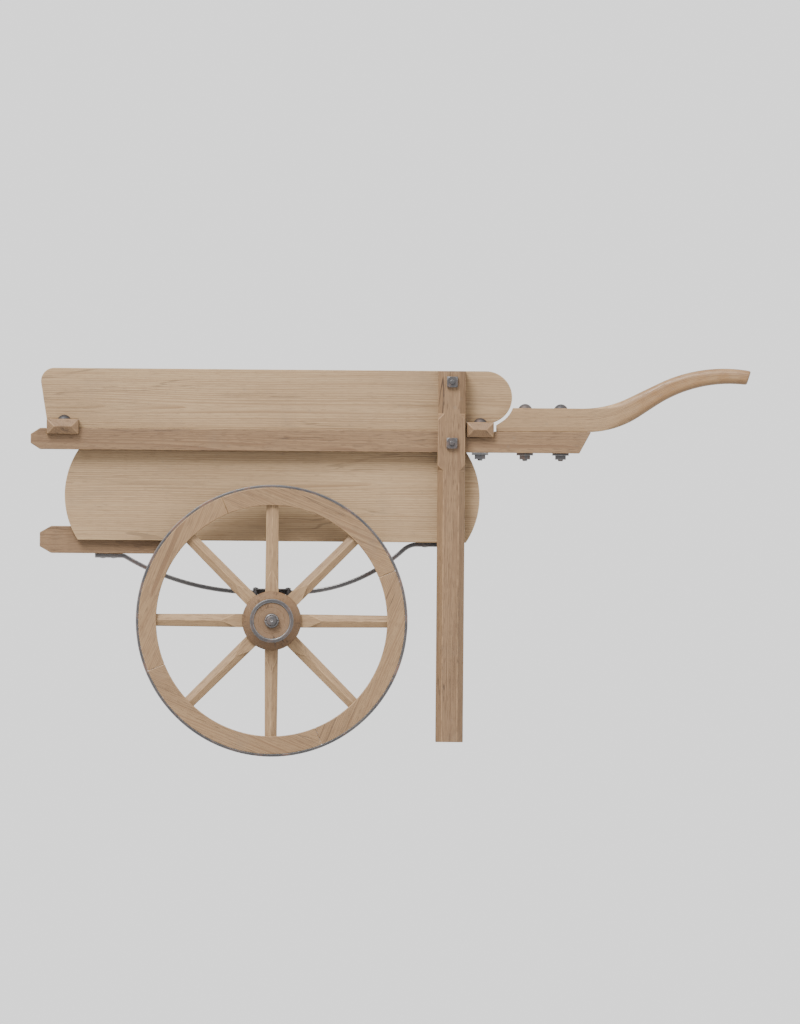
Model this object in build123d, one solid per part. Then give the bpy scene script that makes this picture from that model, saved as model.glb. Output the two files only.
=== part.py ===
from build123d import *
from math import acos, atan2, cos, degrees, radians, sin, sqrt
import os

# A two-wheeled wooden hand cart on leaf springs, in millimetres.
# While it is built, X is measured from the wheel axis towards the handles, Y across the cart
# (the user, between the handles, has left at -Y) and Z up from the ground. save() then moves
# every piece so that the origin is at the bottom centre of the cart's box.
# Pieces that come in pairs are built on the +Y side and mirrored.

# Driving sizes: wheels
WHEEL_R = 343.0  # over the tyre
TYRE_THICK = 6.5
RIM_WIDE = 44.0
FELLOE_DEEP = 45.2
FELLOES = 4
SPOKES = 8
SPOKE_WIDE_NAVE = 34.0
SPOKE_WIDE_RIM = 30.5
SPOKE_THICK = 30.0
SPOKE_FACET_DEEP = 8.0
SPOKE_ARROW_BASE_R = 90.0
SPOKE_ARROW_TIP_R = 130.0
TENON_WIDE = 18.0
TENON_THICK = 22.0
TENON_ROOT_R = 40.0
TONGUE_R = 9.0
TONGUE_LONG = 34.0
NAVE_R = 74.7
NAVE_LONG = 146.0
NAVE_BELLY_LONG = 52.0
NOSE_RING_R = 55.4
NOSE_RING_BORE_R = 45.2
NOSE_RING_LONG = 20.0
NOSE_RING_LIP = 3.0
HOOP_R = 62.0
HOOP_THICK = 5.0
HOOP_LONG = 18.0
BOX_R = 18.0
WHEEL_FLOAT = 0.3  # side play between a nave and what holds it

# Driving sizes: axle and springs
ARM_R = 12.7
ARM_RUN_FIT = 0.05  # radial clearance of the arm in its box
ARM_STANDS_OUT = 18.0
AXLE_BAR = 32.0
SHOULDER_R = 28.0
SHOULDER_LONG = 9.7
CAP_R = 18.3
CAP_LONG = 12.0
BED_LONG_X = 70.0
BED_ABOVE_AXLE = 66.3
BED_BELOW_AXLE = 8.0
LEAF_THICK = 11.0
LEAF_WIDE = 38.0
LEAF_FOOT_FRONT_LONG = 67.0
LEAF_FOOT_REAR_LONG = 82.0
LEAF_FOOT_INSET = (43.5, 41.0)  # from the front and rear ends of the well
LEAF_BEND_FRONT_R = 24.0
LEAF_BEND_REAR_R = 50.0
CLIP_PLATE_THICK = 4.0
CLIP_PLATE_EDGE = 2.0  # plate left outside each clip bolt, along the cart
CLIP_R = 5.0
CLIP_HEAD_R = 8.0
CLIP_HEAD_TALL = 3.0
CLIP_NUT = 17.0
CLIP_NUT_TALL = 8.0
CLIP_GAP = 1.0  # a clip bolt's clearance from the leaf and from the axle bed
SHOULDER_GAP = 2.0  # from the clip plates to the shoulder of the axle bar

# Driving sizes: frame
WELL_FRONT_X = -490.5
WELL_REAR_X = 488.0
WELL_HALF_WIDE = 255.0
RAIL_TOP = 825.0
RAIL_DEEP = 54.0
RAIL_WIDE = 54.0
RAIL_PAST_CROSS = (40.0, 245.0)  # ahead of the front cross-member and behind the rear one
RAIL_REAR_SLANT = 29.0
RAIL_CHAMFER = (24.0, 15.5)
CROSS_PROUD = 23.0  # above the rails
CROSS_DEEP = 38.0
CROSS_FRONT_WIDE = 81.0
CROSS_REAR_WIDE = 68.5
CROSS_STANDS_OUT = 26.0
CROSS_HIP = 12.0
BOARD_THICK = 20.0
BOARD_TALL = 151.5
BOARD_CORNER_R = 33.0
BOARD_LEAN = 20.5  # how far its front edge leans ahead of its foot
BOARD_PAST_CROSS = 45.5
BOARD_END_R = 66.0
LEG_WIDE = 69.5
LEG_SET_FORWARD = 3.5  # from the rear end of the well
LEG_FOOT_Z = 40.5
LEG_STANDS_OUT = 24.0
LEG_CHAMFER = 15.0
LEG_CHAMFER_STOP = 36.0
LEG_BAND_BELOW_RAIL = 10.0
LEG_BAND_LONG = 71.0
PANEL_TALL = 227.5
PANEL_BOW = 34.0
BEARER_PAST_WELL = 96.0
BEARER_DEEP = 68.5
BEARER_BELOW_PANEL = 34.0
BEARER_WIDE = 50.0
BEARER_CHAMFER = (29.0, 16.5)
BEARER_STEP = (199.5, 268.5)  # where its bottom steps up, from the front end of the well
FLOOR_PLANKS = 7
FLOOR_THICK = 22.0
FLOOR_GAP = 2.0
END_BOARD_THICK = 20.0
POST_SIZE = 40.0
POST_TOP_SHORT = 16.0
HEADBOARD_SET_BACK = 12.0
HEADBOARD_TOP_SHORT = 14.0
TAILBOARD_SET_BACK = 26.0
TAILBOARD_TOP_SHORT = 26.0

# Driving sizes: handles
HANDLE_DEEP = 59.5
HANDLE_WIDE = 42.0
HANDLE_GAP = 5.5  # behind the rear cross-member
HANDLE_COPE_GAP = 7.0
GRIP_ROUND = 14.0
GRIP_FROM = 288.0  # where the rounding starts, from the front of the handle
# each edge starts to climb so far behind the front of the handle, on an arc, then runs straight
# and turns over on a second arc; angles are in degrees
TOP_EDGE = {"start": 217.0, "climb_r": 260.0, "climb": 26.2, "run": 86.5, "over_r": 376.0, "droop": 10.2}
LOW_EDGE = {"start": 228.5, "climb_r": 238.0, "climb": 33.6, "run": 51.5, "over_r": 337.5, "droop": 7.0}

# Driving sizes: fasteners
BOLT_R = 6.5
CUP_R = 16.5
CUP_TALL = 10.5
CUP_CLEAR = 0.5
NUT = 27.0
NUT_TALL = 10.0
BOLT_PAST_NUT = 4.0
PLATE_X = 42.0
PLATE_Y = 33.0
PLATE_THICK = 6.0
CROSS_SCREW_AHEAD = 36.5  # of the well's front end
CROSS_BOLT_BEHIND = 34.0  # the well's rear end
HANDLE_BOLTS_BEHIND = (73.0, 163.0)  # the front of the handle
CROSS_SCREW_LONG = 66.0
LEG_BOLT_AHEAD = 37.0  # of the well's rear end
LEG_BOLT_BELOW_TOP = 27.5
LEG_BOLT_BELOW_RAIL_TOP = 30.5
SCREW_R = 4.0
SCREW_HEAD_R = 8.0
SCREW_LONG = 42.0
SCREW_INSET = 20.0

# Heights that follow
AXLE_Z = WHEEL_R
RAIL_BOTTOM = RAIL_TOP - RAIL_DEEP
CROSS_TOP = RAIL_TOP + CROSS_PROUD
CROSS_BOTTOM = CROSS_TOP - CROSS_DEEP
BOARD_TOP = RAIL_TOP + BOARD_TALL
PANEL_BOTTOM = RAIL_BOTTOM - PANEL_TALL
BEARER_BOTTOM = PANEL_BOTTOM - BEARER_BELOW_PANEL
BEARER_TOP = BEARER_BOTTOM + BEARER_DEEP
FLOOR_TOP = BEARER_TOP + FLOOR_THICK
HANDLE_TOP = RAIL_TOP + HANDLE_DEEP
LEG_BOLT_Z = (RAIL_TOP - LEG_BOLT_BELOW_RAIL_TOP, BOARD_TOP - LEG_BOLT_BELOW_TOP)
LEAF_BOTTOM = AXLE_Z + BED_ABOVE_AXLE
LEAF_TOP = LEAF_BOTTOM + LEAF_THICK
CLIP_PLATE_BOTTOM = AXLE_Z - AXLE_BAR / 2

# Places along the cart that follow
CROSS_FRONT_X = (WELL_FRONT_X - CROSS_FRONT_WIDE, WELL_FRONT_X)
CROSS_REAR_X = (WELL_REAR_X, WELL_REAR_X + CROSS_REAR_WIDE)
RAIL_NOSE_X = CROSS_FRONT_X[0] - RAIL_PAST_CROSS[0]
RAIL_REAR_TOP_X = CROSS_REAR_X[1] + RAIL_PAST_CROSS[1]
BOARD_FRONT_TOP_X = CROSS_FRONT_X[0] - BOARD_LEAN
BOARD_REAR_X = CROSS_REAR_X[1] + BOARD_PAST_CROSS
INSIDE_X = (WELL_FRONT_X + END_BOARD_THICK, WELL_REAR_X - END_BOARD_THICK)
BOARD_END = (BOARD_REAR_X - BOARD_END_R, BOARD_TOP - BOARD_END_R)
LEG_X = (WELL_REAR_X - LEG_SET_FORWARD - LEG_WIDE, WELL_REAR_X - LEG_SET_FORWARD)
LEG_BOLT_X = WELL_REAR_X - LEG_BOLT_AHEAD
BEARER_NOSE_X = WELL_FRONT_X - BEARER_PAST_WELL
HANDLE_FOOT_X = CROSS_REAR_X[1] + HANDLE_GAP
CROSS_SCREW_X = WELL_FRONT_X - CROSS_SCREW_AHEAD
TAILBOARD_X = (WELL_REAR_X + TAILBOARD_SET_BACK, WELL_REAR_X + TAILBOARD_SET_BACK + BOARD_THICK)
CLIP_X = BED_LONG_X / 2 + CLIP_R + CLIP_GAP
CLIP_PLATE_HALF = CLIP_X + CLIP_R + CLIP_PLATE_EDGE
LEAF_FRONT_END = WELL_FRONT_X + LEAF_FOOT_INSET[0]
LEAF_REAR_END = WELL_REAR_X - LEAF_FOOT_INSET[1]
LEAF_FOOT_FRONT = (LEAF_FRONT_END, LEAF_FRONT_END + LEAF_FOOT_FRONT_LONG)
LEAF_FOOT_REAR = (LEAF_REAR_END - LEAF_FOOT_REAR_LONG, LEAF_REAR_END)

# Places across the cart that follow
BOARD_OUT_Y = WELL_HALF_WIDE + BOARD_THICK
RAIL_OUT_Y = WELL_HALF_WIDE + RAIL_WIDE
LEG_OUT_Y = RAIL_OUT_Y + LEG_STANDS_OUT
HANDLE_Y = (WELL_HALF_WIDE + RAIL_OUT_Y) / 2
CROSS_BOLT_Y = BOARD_OUT_Y + CUP_R + CUP_CLEAR
LEAF_Y = WELL_HALF_WIDE - BEARER_WIDE / 2
CLIP_SIDE = LEAF_WIDE / 2 + CLIP_R + CLIP_GAP
CLIP_Y = (LEAF_Y - CLIP_SIDE, LEAF_Y + CLIP_SIDE)
CLIP_PLATE_Y = (CLIP_Y[0] - CLIP_R - CLIP_GAP, CLIP_Y[1] + CLIP_R + CLIP_GAP)
SHOULDER_Y = (CLIP_PLATE_Y[1] + SHOULDER_GAP, CLIP_PLATE_Y[1] + SHOULDER_GAP + SHOULDER_LONG)
NAVE_Y = (SHOULDER_Y[1] + WHEEL_FLOAT, SHOULDER_Y[1] + WHEEL_FLOAT + NAVE_LONG)
WHEEL_PLANE_Y = sum(NAVE_Y) / 2

# Sizes of the wheel that follow
TYRE_BORE_R = WHEEL_R - TYRE_THICK
FELLOE_BORE_R = TYRE_BORE_R - FELLOE_DEEP
SPOKE_ANGLES = [360.0 / SPOKES * k for k in range(SPOKES)]


def edge_end_x(edge):
    """Where a handle edge ends along the cart."""
    climb = radians(edge["climb"])
    droop = radians(edge["droop"])
    climbing = edge["climb_r"] * sin(climb) + edge["run"] * cos(climb)
    turning_over = edge["over_r"] * (sin(climb) + sin(droop))
    return HANDLE_FOOT_X + edge["start"] + climbing + turning_over


GRIP_TIP_X = edge_end_x(TOP_EDGE)
ORIGIN_X = (RAIL_NOSE_X + GRIP_TIP_X) / 2


def save(node, *shapes):
    """Write one node's solids, moved into the cart's own frame."""
    home = Location((-ORIGIN_X, 0, 0))
    solids = [solid.moved(home) for shape in shapes for solid in shape.solids()]
    export_step(Compound(solids) if len(solids) > 1 else solids[0], f"parts/{node}.step")


def across(shape):
    """The same piece on the other side of the cart."""
    return mirror(shape, Plane.XZ)


def save_pair(node, *shapes):
    save(f"right_{node}", *shapes)
    save(f"left_{node}", *[across(shape) for shape in shapes])


def block(x, y, z):
    size = Box(x[1] - x[0], y[1] - y[0], z[1] - z[0])
    return Pos(sum(x) / 2, sum(y) / 2, sum(z) / 2) * size


def face_of(*lines):
    return make_face([edge for line in lines for edge in line.edges()])


def polygon(*points):
    return make_face(Polyline(*points, close=True))


def prism(face, y):
    """A face drawn in X and Z, run across the cart from y[0] to y[1]."""
    return extrude(Pos(0, y[1], 0) * (Plane.XZ * face), amount=y[1] - y[0], dir=(0, -1, 0))


def rod(x, y, z, radius):
    """A round bar along whichever of x, y and z is a pair of ends."""
    ends = next(span for span in (x, y, z) if isinstance(span, tuple))
    turn = Rot(0, 90, 0) if ends is x else Rot(90, 0, 0) if ends is y else Rot()
    centre = [sum(span) / 2 if isinstance(span, tuple) else span for span in (x, y, z)]
    return Pos(*centre) * turn * Cylinder(radius, ends[1] - ends[0])


def turned(*points):
    """A ring or hub about the wheel axis, from an outline of (radius, y) points."""
    return Pos(0, 0, AXLE_Z) * revolve(polygon(*points), Axis.Y)


def turned_ring(inner, outer, y):
    return turned((inner, y[0]), (outer, y[0]), (outer, y[1]), (inner, y[1]))


def about_wheel_axis(shape, angle):
    """Turn a piece that was drawn straight above the wheel axis."""
    return Pos(0, 0, AXLE_Z) * Rot(0, angle, 0) * Pos(0, 0, -AXLE_Z) * shape


def cup_bolt(z_head, z_end):
    """A cup-headed bolt that points down from z_head."""
    shank = polygon((0, z_end), (BOLT_R, z_end), (BOLT_R, z_head), (0, z_head))
    dome_r = (CUP_R**2 + CUP_TALL**2) / (2 * CUP_TALL)
    rise = acos((dome_r - CUP_TALL) / dome_r) / 2
    middle = (dome_r * sin(rise), z_head + CUP_TALL - dome_r * (1 - cos(rise)))
    dome = face_of(
        Line((0, z_head), (CUP_R, z_head)),
        ThreePointArc((CUP_R, z_head), middle, (0, z_head + CUP_TALL)),
        Line((0, z_head + CUP_TALL), (0, z_head)),
    )
    return revolve(Plane.XZ * (shank + dome), Axis.Z)


def countersunk_screw(z_head, length):
    """A flush screw that points up from z_head."""
    taper = SCREW_HEAD_R - SCREW_R
    outline = polygon(
        (0, z_head),
        (SCREW_HEAD_R, z_head),
        (SCREW_R, z_head + taper),
        (SCREW_R, z_head + length),
        (0, z_head + length),
    )
    return revolve(Plane.XZ * outline, Axis.Z)


def square_nut(side, tall, hole):
    """A square nut that sits on Z = 0 and hangs below it."""
    body = block((-side / 2, side / 2), (-side / 2, side / 2), (-tall, 0))
    bevel = Pos(0, 0, -tall / 2) * Cylinder(side * 0.66, tall)
    return (body & bevel) - rod(0, 0, (-tall, 0), hole)


# Fasteners in the frame
CROSS_SCREW = Pos(CROSS_SCREW_X, CROSS_BOLT_Y, 0) * cup_bolt(CROSS_TOP, CROSS_TOP - CROSS_SCREW_LONG)
BOLT_END = RAIL_BOTTOM - PLATE_THICK - NUT_TALL - BOLT_PAST_NUT
BOLT_SPOTS = [(WELL_REAR_X + CROSS_BOLT_BEHIND, CROSS_BOLT_Y, CROSS_TOP)]
BOLT_SPOTS += [(HANDLE_FOOT_X + behind, HANDLE_Y, HANDLE_TOP) for behind in HANDLE_BOLTS_BEHIND]


def frame_bolts():
    return [Pos(x, y, 0) * cup_bolt(head, BOLT_END) for x, y, head in BOLT_SPOTS]


def under_rail(piece):
    return [Pos(x, y, RAIL_BOTTOM) * piece for x, y, head in BOLT_SPOTS]


def bolt_plate():
    plate = block((-PLATE_X / 2, PLATE_X / 2), (-PLATE_Y / 2, PLATE_Y / 2), (-PLATE_THICK, 0))
    return plate - rod(0, 0, (-PLATE_THICK, 0), BOLT_R)


def leg_bolts():
    """Bolts from the corner post out through the leg, with their heads inside."""
    inside = WELL_HALF_WIDE - POST_SIZE
    length = LEG_OUT_Y + NUT_TALL + BOLT_PAST_NUT - inside
    outward = Pos(LEG_BOLT_X, inside, 0) * Rot(90, 0, 0) * cup_bolt(0, -length)
    return [Pos(0, 0, z) * outward for z in LEG_BOLT_Z]


def leg_nuts():
    nut = Pos(LEG_BOLT_X, LEG_OUT_Y, 0) * Rot(90, 0, 0) * square_nut(NUT, NUT_TALL, BOLT_R)
    return [Pos(0, 0, z) * nut for z in LEG_BOLT_Z]


def spring_screws():
    """Two flush screws up through each foot of a spring."""
    found = []
    for foot, bottom in ((LEAF_FOOT_FRONT, BEARER_BOTTOM), (LEAF_FOOT_REAR, PANEL_BOTTOM)):
        for x in (foot[0] + SCREW_INSET, foot[1] - SCREW_INSET):
            found.append(Pos(x, LEAF_Y, 0) * countersunk_screw(bottom - LEAF_THICK, SCREW_LONG))
    return found


FRAME_BOLTS = frame_bolts()
LEG_BOLTS = leg_bolts()
SPRING_SCREWS = spring_screws()


# Frame
def chamfered_nose(front, rear, top, bottom, chamfer):
    """The outline of a beam whose front end is chamfered above and below; rear is a list of points."""
    run, rise = chamfer
    return polygon(
        (front + run, bottom),
        (front, bottom + rise),
        (front, top - rise),
        (front + run, top),
        *rear,
    )


def cross_member(x, y_end):
    """A bar over both rails, with each end cut to a hipped point."""
    mid = (CROSS_TOP + CROSS_BOTTOM) / 2
    shoulder = y_end - CROSS_HIP
    half = CROSS_DEEP / 2
    profile = Polyline(
        (-y_end, mid),
        (-shoulder, CROSS_TOP),
        (shoulder, CROSS_TOP),
        (y_end, mid),
        (shoulder, CROSS_BOTTOM),
        (-shoulder, CROSS_BOTTOM),
        close=True,
    )
    bar = Pos(x[0], 0, 0) * extrude(Plane.YZ * make_face(profile), amount=x[1] - x[0])
    plan = Polyline(
        (x[0] + half, -y_end),
        (x[1] - half, -y_end),
        (x[1], -shoulder),
        (x[1], shoulder),
        (x[1] - half, y_end),
        (x[0] + half, y_end),
        (x[0], shoulder),
        (x[0], -shoulder),
        close=True,
    )
    return bar & Pos(0, 0, CROSS_BOTTOM) * extrude(make_face(plan), amount=CROSS_DEEP, dir=(0, 0, 1))


CROSS_END_Y = RAIL_OUT_Y + CROSS_STANDS_OUT
CROSSES = [cross_member(x, CROSS_END_Y) for x in (CROSS_FRONT_X, CROSS_REAR_X)]


def rail():
    rear = ((RAIL_REAR_TOP_X, RAIL_TOP), (RAIL_REAR_TOP_X - RAIL_REAR_SLANT, RAIL_BOTTOM))
    outline = chamfered_nose(RAIL_NOSE_X, rear, RAIL_TOP, RAIL_BOTTOM, RAIL_CHAMFER)
    return prism(outline, (WELL_HALF_WIDE, RAIL_OUT_Y)) - CROSSES - CROSS_SCREW - FRAME_BOLTS - LEG_BOLTS


def side_board():
    """Round rear end, rounded front top corner, and a front edge that leans forward."""
    foot = (CROSS_FRONT_X[0], CROSS_TOP)
    top_corner = (BOARD_FRONT_TOP_X, BOARD_TOP)
    lean = atan2(top_corner[0] - foot[0], top_corner[1] - foot[1])
    tangent_run = BOARD_CORNER_R * (1 + sin(-lean)) / cos(lean)
    edge_top = (top_corner[0] - tangent_run * sin(lean), top_corner[1] - tangent_run * cos(lean))
    corner = JernArc(edge_top, (sin(lean), cos(lean)), BOARD_CORNER_R, -(90 + degrees(lean)))
    end_x, end_z = BOARD_END
    drop = end_z - CROSS_TOP
    rear_foot = (end_x + sqrt(BOARD_END_R**2 - drop**2), CROSS_TOP)
    outline = face_of(
        Line(foot, edge_top),
        corner,
        Line(corner @ 1, (end_x, BOARD_TOP)),
        ThreePointArc((end_x, BOARD_TOP), (BOARD_REAR_X, end_z), rear_foot),
        Polyline(rear_foot, (WELL_REAR_X, CROSS_TOP), (WELL_REAR_X, RAIL_TOP)),
        Polyline((WELL_REAR_X, RAIL_TOP), (WELL_FRONT_X, RAIL_TOP), (WELL_FRONT_X, CROSS_TOP), foot),
    )
    return prism(outline, (WELL_HALF_WIDE, BOARD_OUT_Y)) - LEG_BOLTS


def lower_panel():
    front, rear = WELL_FRONT_X, WELL_REAR_X
    middle = (RAIL_BOTTOM + PANEL_BOTTOM) / 2
    outline = face_of(
        ThreePointArc((front, PANEL_BOTTOM), (front - PANEL_BOW, middle), (front, RAIL_BOTTOM)),
        Line((front, RAIL_BOTTOM), (rear, RAIL_BOTTOM)),
        ThreePointArc((rear, RAIL_BOTTOM), (rear + PANEL_BOW, middle), (rear, PANEL_BOTTOM)),
        Line((rear, PANEL_BOTTOM), (front, PANEL_BOTTOM)),
    )
    return prism(outline, (WELL_HALF_WIDE, BOARD_OUT_Y))


def bearer():
    """Deep at the front, then stepped up to the bottom of the panel beside it."""
    rear = (
        (WELL_REAR_X, BEARER_TOP),
        (WELL_REAR_X, PANEL_BOTTOM),
        (WELL_FRONT_X + BEARER_STEP[1], PANEL_BOTTOM),
        (WELL_FRONT_X + BEARER_STEP[0], BEARER_BOTTOM),
    )
    outline = chamfered_nose(BEARER_NOSE_X, rear, BEARER_TOP, BEARER_BOTTOM, BEARER_CHAMFER)
    return prism(outline, (WELL_HALF_WIDE - BEARER_WIDE, WELL_HALF_WIDE)) - SPRING_SCREWS


def corner_chamfer(z, x, inward):
    """The wedge cut from one outer corner of a leg. z holds the low and the high end, each as its height
    at the face and at the full depth, so an end whose two heights differ is a sloping stop."""
    depth = LEG_CHAMFER / sqrt(2)
    low, high = z
    wedge = polygon(
        (-depth, low[0]),
        (0, low[0]),
        (depth, low[1]),
        (depth, high[1]),
        (0, high[0]),
        (-depth, high[0]),
    )
    cutter = prism(wedge, (-2 * LEG_CHAMFER, 2 * LEG_CHAMFER))
    return Pos(x, LEG_OUT_Y, 0) * Rot(0, 0, -45 if inward > 0 else -135) * cutter


def leg():
    """A post on the outside of the board, notched over the rail, with stopped chamfers."""
    post = block(LEG_X, (BOARD_OUT_Y, LEG_OUT_Y), (LEG_FOOT_Z, BOARD_TOP))
    notch = block(LEG_X, (BOARD_OUT_Y, RAIL_OUT_Y), (RAIL_BOTTOM, RAIL_TOP))
    band_low = RAIL_BOTTOM - LEG_BAND_BELOW_RAIL
    band_high = band_low + LEG_BAND_LONG
    upper = ((band_high, band_high + LEG_CHAMFER_STOP), (BOARD_TOP, BOARD_TOP))
    lower = ((LEG_FOOT_Z, LEG_FOOT_Z), (band_low, band_low - LEG_CHAMFER_STOP))
    chamfers = [corner_chamfer(z, x, inward) for z in (upper, lower) for x, inward in zip(LEG_X, (1, -1))]
    return post - notch - chamfers - LEG_BOLTS


def floor_planks():
    pitch = (INSIDE_X[1] - INSIDE_X[0]) / FLOOR_PLANKS
    inside = (-WELL_HALF_WIDE, WELL_HALF_WIDE)
    starts = [INSIDE_X[0] + FLOOR_GAP / 2 + pitch * k for k in range(FLOOR_PLANKS)]
    return [block((x, x + pitch - FLOOR_GAP), inside, (BEARER_TOP, FLOOR_TOP)) for x in starts]


def corner_posts():
    """Posts inside the well that tie board, rail and panel together."""
    front, rear = INSIDE_X
    y = (WELL_HALF_WIDE - POST_SIZE, WELL_HALF_WIDE)
    height = (FLOOR_TOP, BOARD_TOP - POST_TOP_SHORT)
    front_post = block((front, front + POST_SIZE), y, height)
    rear_post = block((rear - POST_SIZE, rear), y, height) - LEG_BOLTS
    return [front_post, rear_post, across(front_post), across(rear_post)]


def well_end(x):
    return block(x, (-WELL_HALF_WIDE, WELL_HALF_WIDE), (BEARER_TOP, CROSS_TOP))


def headboard():
    """Leans forward with the front edges of the side boards."""
    lean = (BOARD_FRONT_TOP_X - CROSS_FRONT_X[0]) / (BOARD_TOP - CROSS_TOP)
    top = BOARD_TOP - HEADBOARD_TOP_SHORT
    foot = CROSS_FRONT_X[0] + HEADBOARD_SET_BACK
    shift = lean * (top - CROSS_TOP)
    outline = polygon(
        (foot, CROSS_TOP),
        (foot + BOARD_THICK, CROSS_TOP),
        (foot + BOARD_THICK + shift, top),
        (foot + shift, top),
    )
    return prism(outline, (-WELL_HALF_WIDE, WELL_HALF_WIDE))


def tailboard():
    height = (CROSS_TOP, BOARD_TOP - TAILBOARD_TOP_SHORT)
    return block(TAILBOARD_X, (-WELL_HALF_WIDE, WELL_HALF_WIDE), height)


# Handles
def handle_edge(start_x, z, edge):
    """The lines of one long edge, from start_x at height z to the end of the grip."""
    flat = Line((start_x, z), (HANDLE_FOOT_X + edge["start"], z))
    climb = JernArc(flat @ 1, flat % 1, edge["climb_r"], edge["climb"])
    run = Line(climb @ 1, climb @ 1 + (climb % 1) * edge["run"])
    over = JernArc(run @ 1, run % 1, edge["over_r"], -(edge["climb"] + edge["droop"]))
    return [flat, climb, run, over]


def handle():
    """Coped round the side board's end, square over the rail, then swept up to a rounded grip."""
    cope_r = BOARD_END_R + HANDLE_COPE_GAP
    end_x, end_z = BOARD_END
    cope_foot = (HANDLE_FOOT_X, end_z - sqrt(cope_r**2 - (HANDLE_FOOT_X - end_x) ** 2))
    cope_top = (end_x + sqrt(cope_r**2 - (end_z - HANDLE_TOP) ** 2), HANDLE_TOP)
    cope_angles = [atan2(z - end_z, x - end_x) for x, z in (cope_foot, cope_top)]
    half_way = sum(cope_angles) / 2
    cope_mid = (end_x + cope_r * cos(half_way), end_z + cope_r * sin(half_way))
    top = handle_edge(cope_top[0], HANDLE_TOP, TOP_EDGE)
    low = handle_edge(HANDLE_FOOT_X, RAIL_TOP, LOW_EDGE)
    outline = face_of(
        Line((HANDLE_FOOT_X, RAIL_TOP), cope_foot),
        ThreePointArc(cope_foot, cope_mid, cope_top),
        *top,
        Line(top[-1] @ 1, low[-1] @ 1),
        *low,
    )
    y = (HANDLE_Y - HANDLE_WIDE / 2, HANDLE_Y + HANDLE_WIDE / 2)
    whole = prism(outline, y)
    grip_x = (HANDLE_FOOT_X + GRIP_FROM, GRIP_TIP_X + HANDLE_DEEP)
    behind = block(grip_x, y, (RAIL_TOP, RAIL_TOP + HANDLE_TOP))
    grip = whole & behind
    long_edges = [edge for edge in grip.edges() if edge.bounding_box().size.X > HANDLE_DEEP / 2]
    return (whole - behind) + fillet(long_edges, GRIP_ROUND) - FRAME_BOLTS


# Wheels, drawn on the +Y side
def nave():
    """Turned hub: a belly for the spokes, a seat for the nose ring and one for the back hoop."""
    inner, outer = NAVE_Y
    belly = (WHEEL_PLANE_Y - NAVE_BELLY_LONG / 2, WHEEL_PLANE_Y + NAVE_BELLY_LONG / 2)
    nose_seat = (NOSE_RING_R + NOSE_RING_BORE_R) / 2
    body = turned(
        (BOX_R, inner),
        (HOOP_R - HOOP_THICK, inner),
        (HOOP_R - HOOP_THICK, inner + HOOP_LONG),
        (HOOP_R, inner + HOOP_LONG),
        (NAVE_R, belly[0]),
        (NAVE_R, belly[1]),
        (NOSE_RING_R, outer - NOSE_RING_LONG),
        (nose_seat, outer - NOSE_RING_LONG),
        (nose_seat, outer),
        (BOX_R, outer),
    )
    return body - [about_wheel_axis(spoke_tenon(), angle) for angle in SPOKE_ANGLES]


def nose_ring():
    """A hoop on the nave's nose with a lip over its end."""
    outer = NAVE_Y[1]
    nose_seat = (NOSE_RING_R + NOSE_RING_BORE_R) / 2
    return turned(
        (nose_seat, outer - NOSE_RING_LONG),
        (NOSE_RING_R, outer - NOSE_RING_LONG),
        (NOSE_RING_R, outer + NOSE_RING_LIP),
        (NOSE_RING_BORE_R, outer + NOSE_RING_LIP),
        (NOSE_RING_BORE_R, outer),
        (nose_seat, outer),
    )


def spoke_facets():
    """The wedges cut from a spoke's face so that it rises to a ridge, with an arrow-shaped stop."""
    half = SPOKE_WIDE_NAVE / 2
    face_y = WHEEL_PLANE_Y + SPOKE_THICK / 2
    reach = (AXLE_Z + SPOKE_ARROW_BASE_R, AXLE_Z + WHEEL_R)
    section = polygon(
        (0, face_y),
        (half, face_y - SPOKE_FACET_DEEP),
        (half, face_y + half),
        (0, face_y + half),
    )
    slope = Pos(0, 0, reach[0]) * extrude(section, amount=reach[1] - reach[0], dir=(0, 0, 1))
    arrow = polygon(
        (half, reach[0]),
        (0, AXLE_Z + SPOKE_ARROW_TIP_R),
        (0, reach[1]),
        (half, reach[1]),
    )
    front = slope & prism(arrow, (WHEEL_PLANE_Y, face_y + half))
    sides = [front, mirror(front, Plane.YZ)]
    middle = Plane.XZ.offset(-WHEEL_PLANE_Y)
    return sides + [mirror(side, middle) for side in sides]


def spoke_tenon():
    """The flat tongue that fills a mortice in the nave."""
    return block(
        (-TENON_WIDE / 2, TENON_WIDE / 2),
        (WHEEL_PLANE_Y - TENON_THICK / 2, WHEEL_PLANE_Y + TENON_THICK / 2),
        (AXLE_Z + TENON_ROOT_R, AXLE_Z + NAVE_R + TENON_WIDE / 2),
    )


def spoke():
    """One spoke, pointing up: tenon in the nave, ridged blade, round tongue in the felloe."""
    blade_r = (NAVE_R, FELLOE_BORE_R)
    wide = (SPOKE_WIDE_NAVE / 2, SPOKE_WIDE_RIM / 2)
    blade = polygon(
        (-wide[0], AXLE_Z + TENON_ROOT_R),
        (wide[0], AXLE_Z + TENON_ROOT_R),
        (wide[1], AXLE_Z + TYRE_BORE_R),
        (-wide[1], AXLE_Z + TYRE_BORE_R),
    )
    thick = (WHEEL_PLANE_Y - SPOKE_THICK / 2, WHEEL_PLANE_Y + SPOKE_THICK / 2)
    between = turned_ring(blade_r[0], blade_r[1], thick)
    rim_z = AXLE_Z + FELLOE_BORE_R
    tongue = rod(0, WHEEL_PLANE_Y, (rim_z - TONGUE_R, rim_z + TONGUE_LONG), TONGUE_R)
    return (prism(blade, thick) & between) - spoke_facets() + spoke_tenon() + tongue


UP_SPOKE = spoke()
SPOKE_SOLIDS = [about_wheel_axis(UP_SPOKE, angle) for angle in SPOKE_ANGLES]


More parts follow.
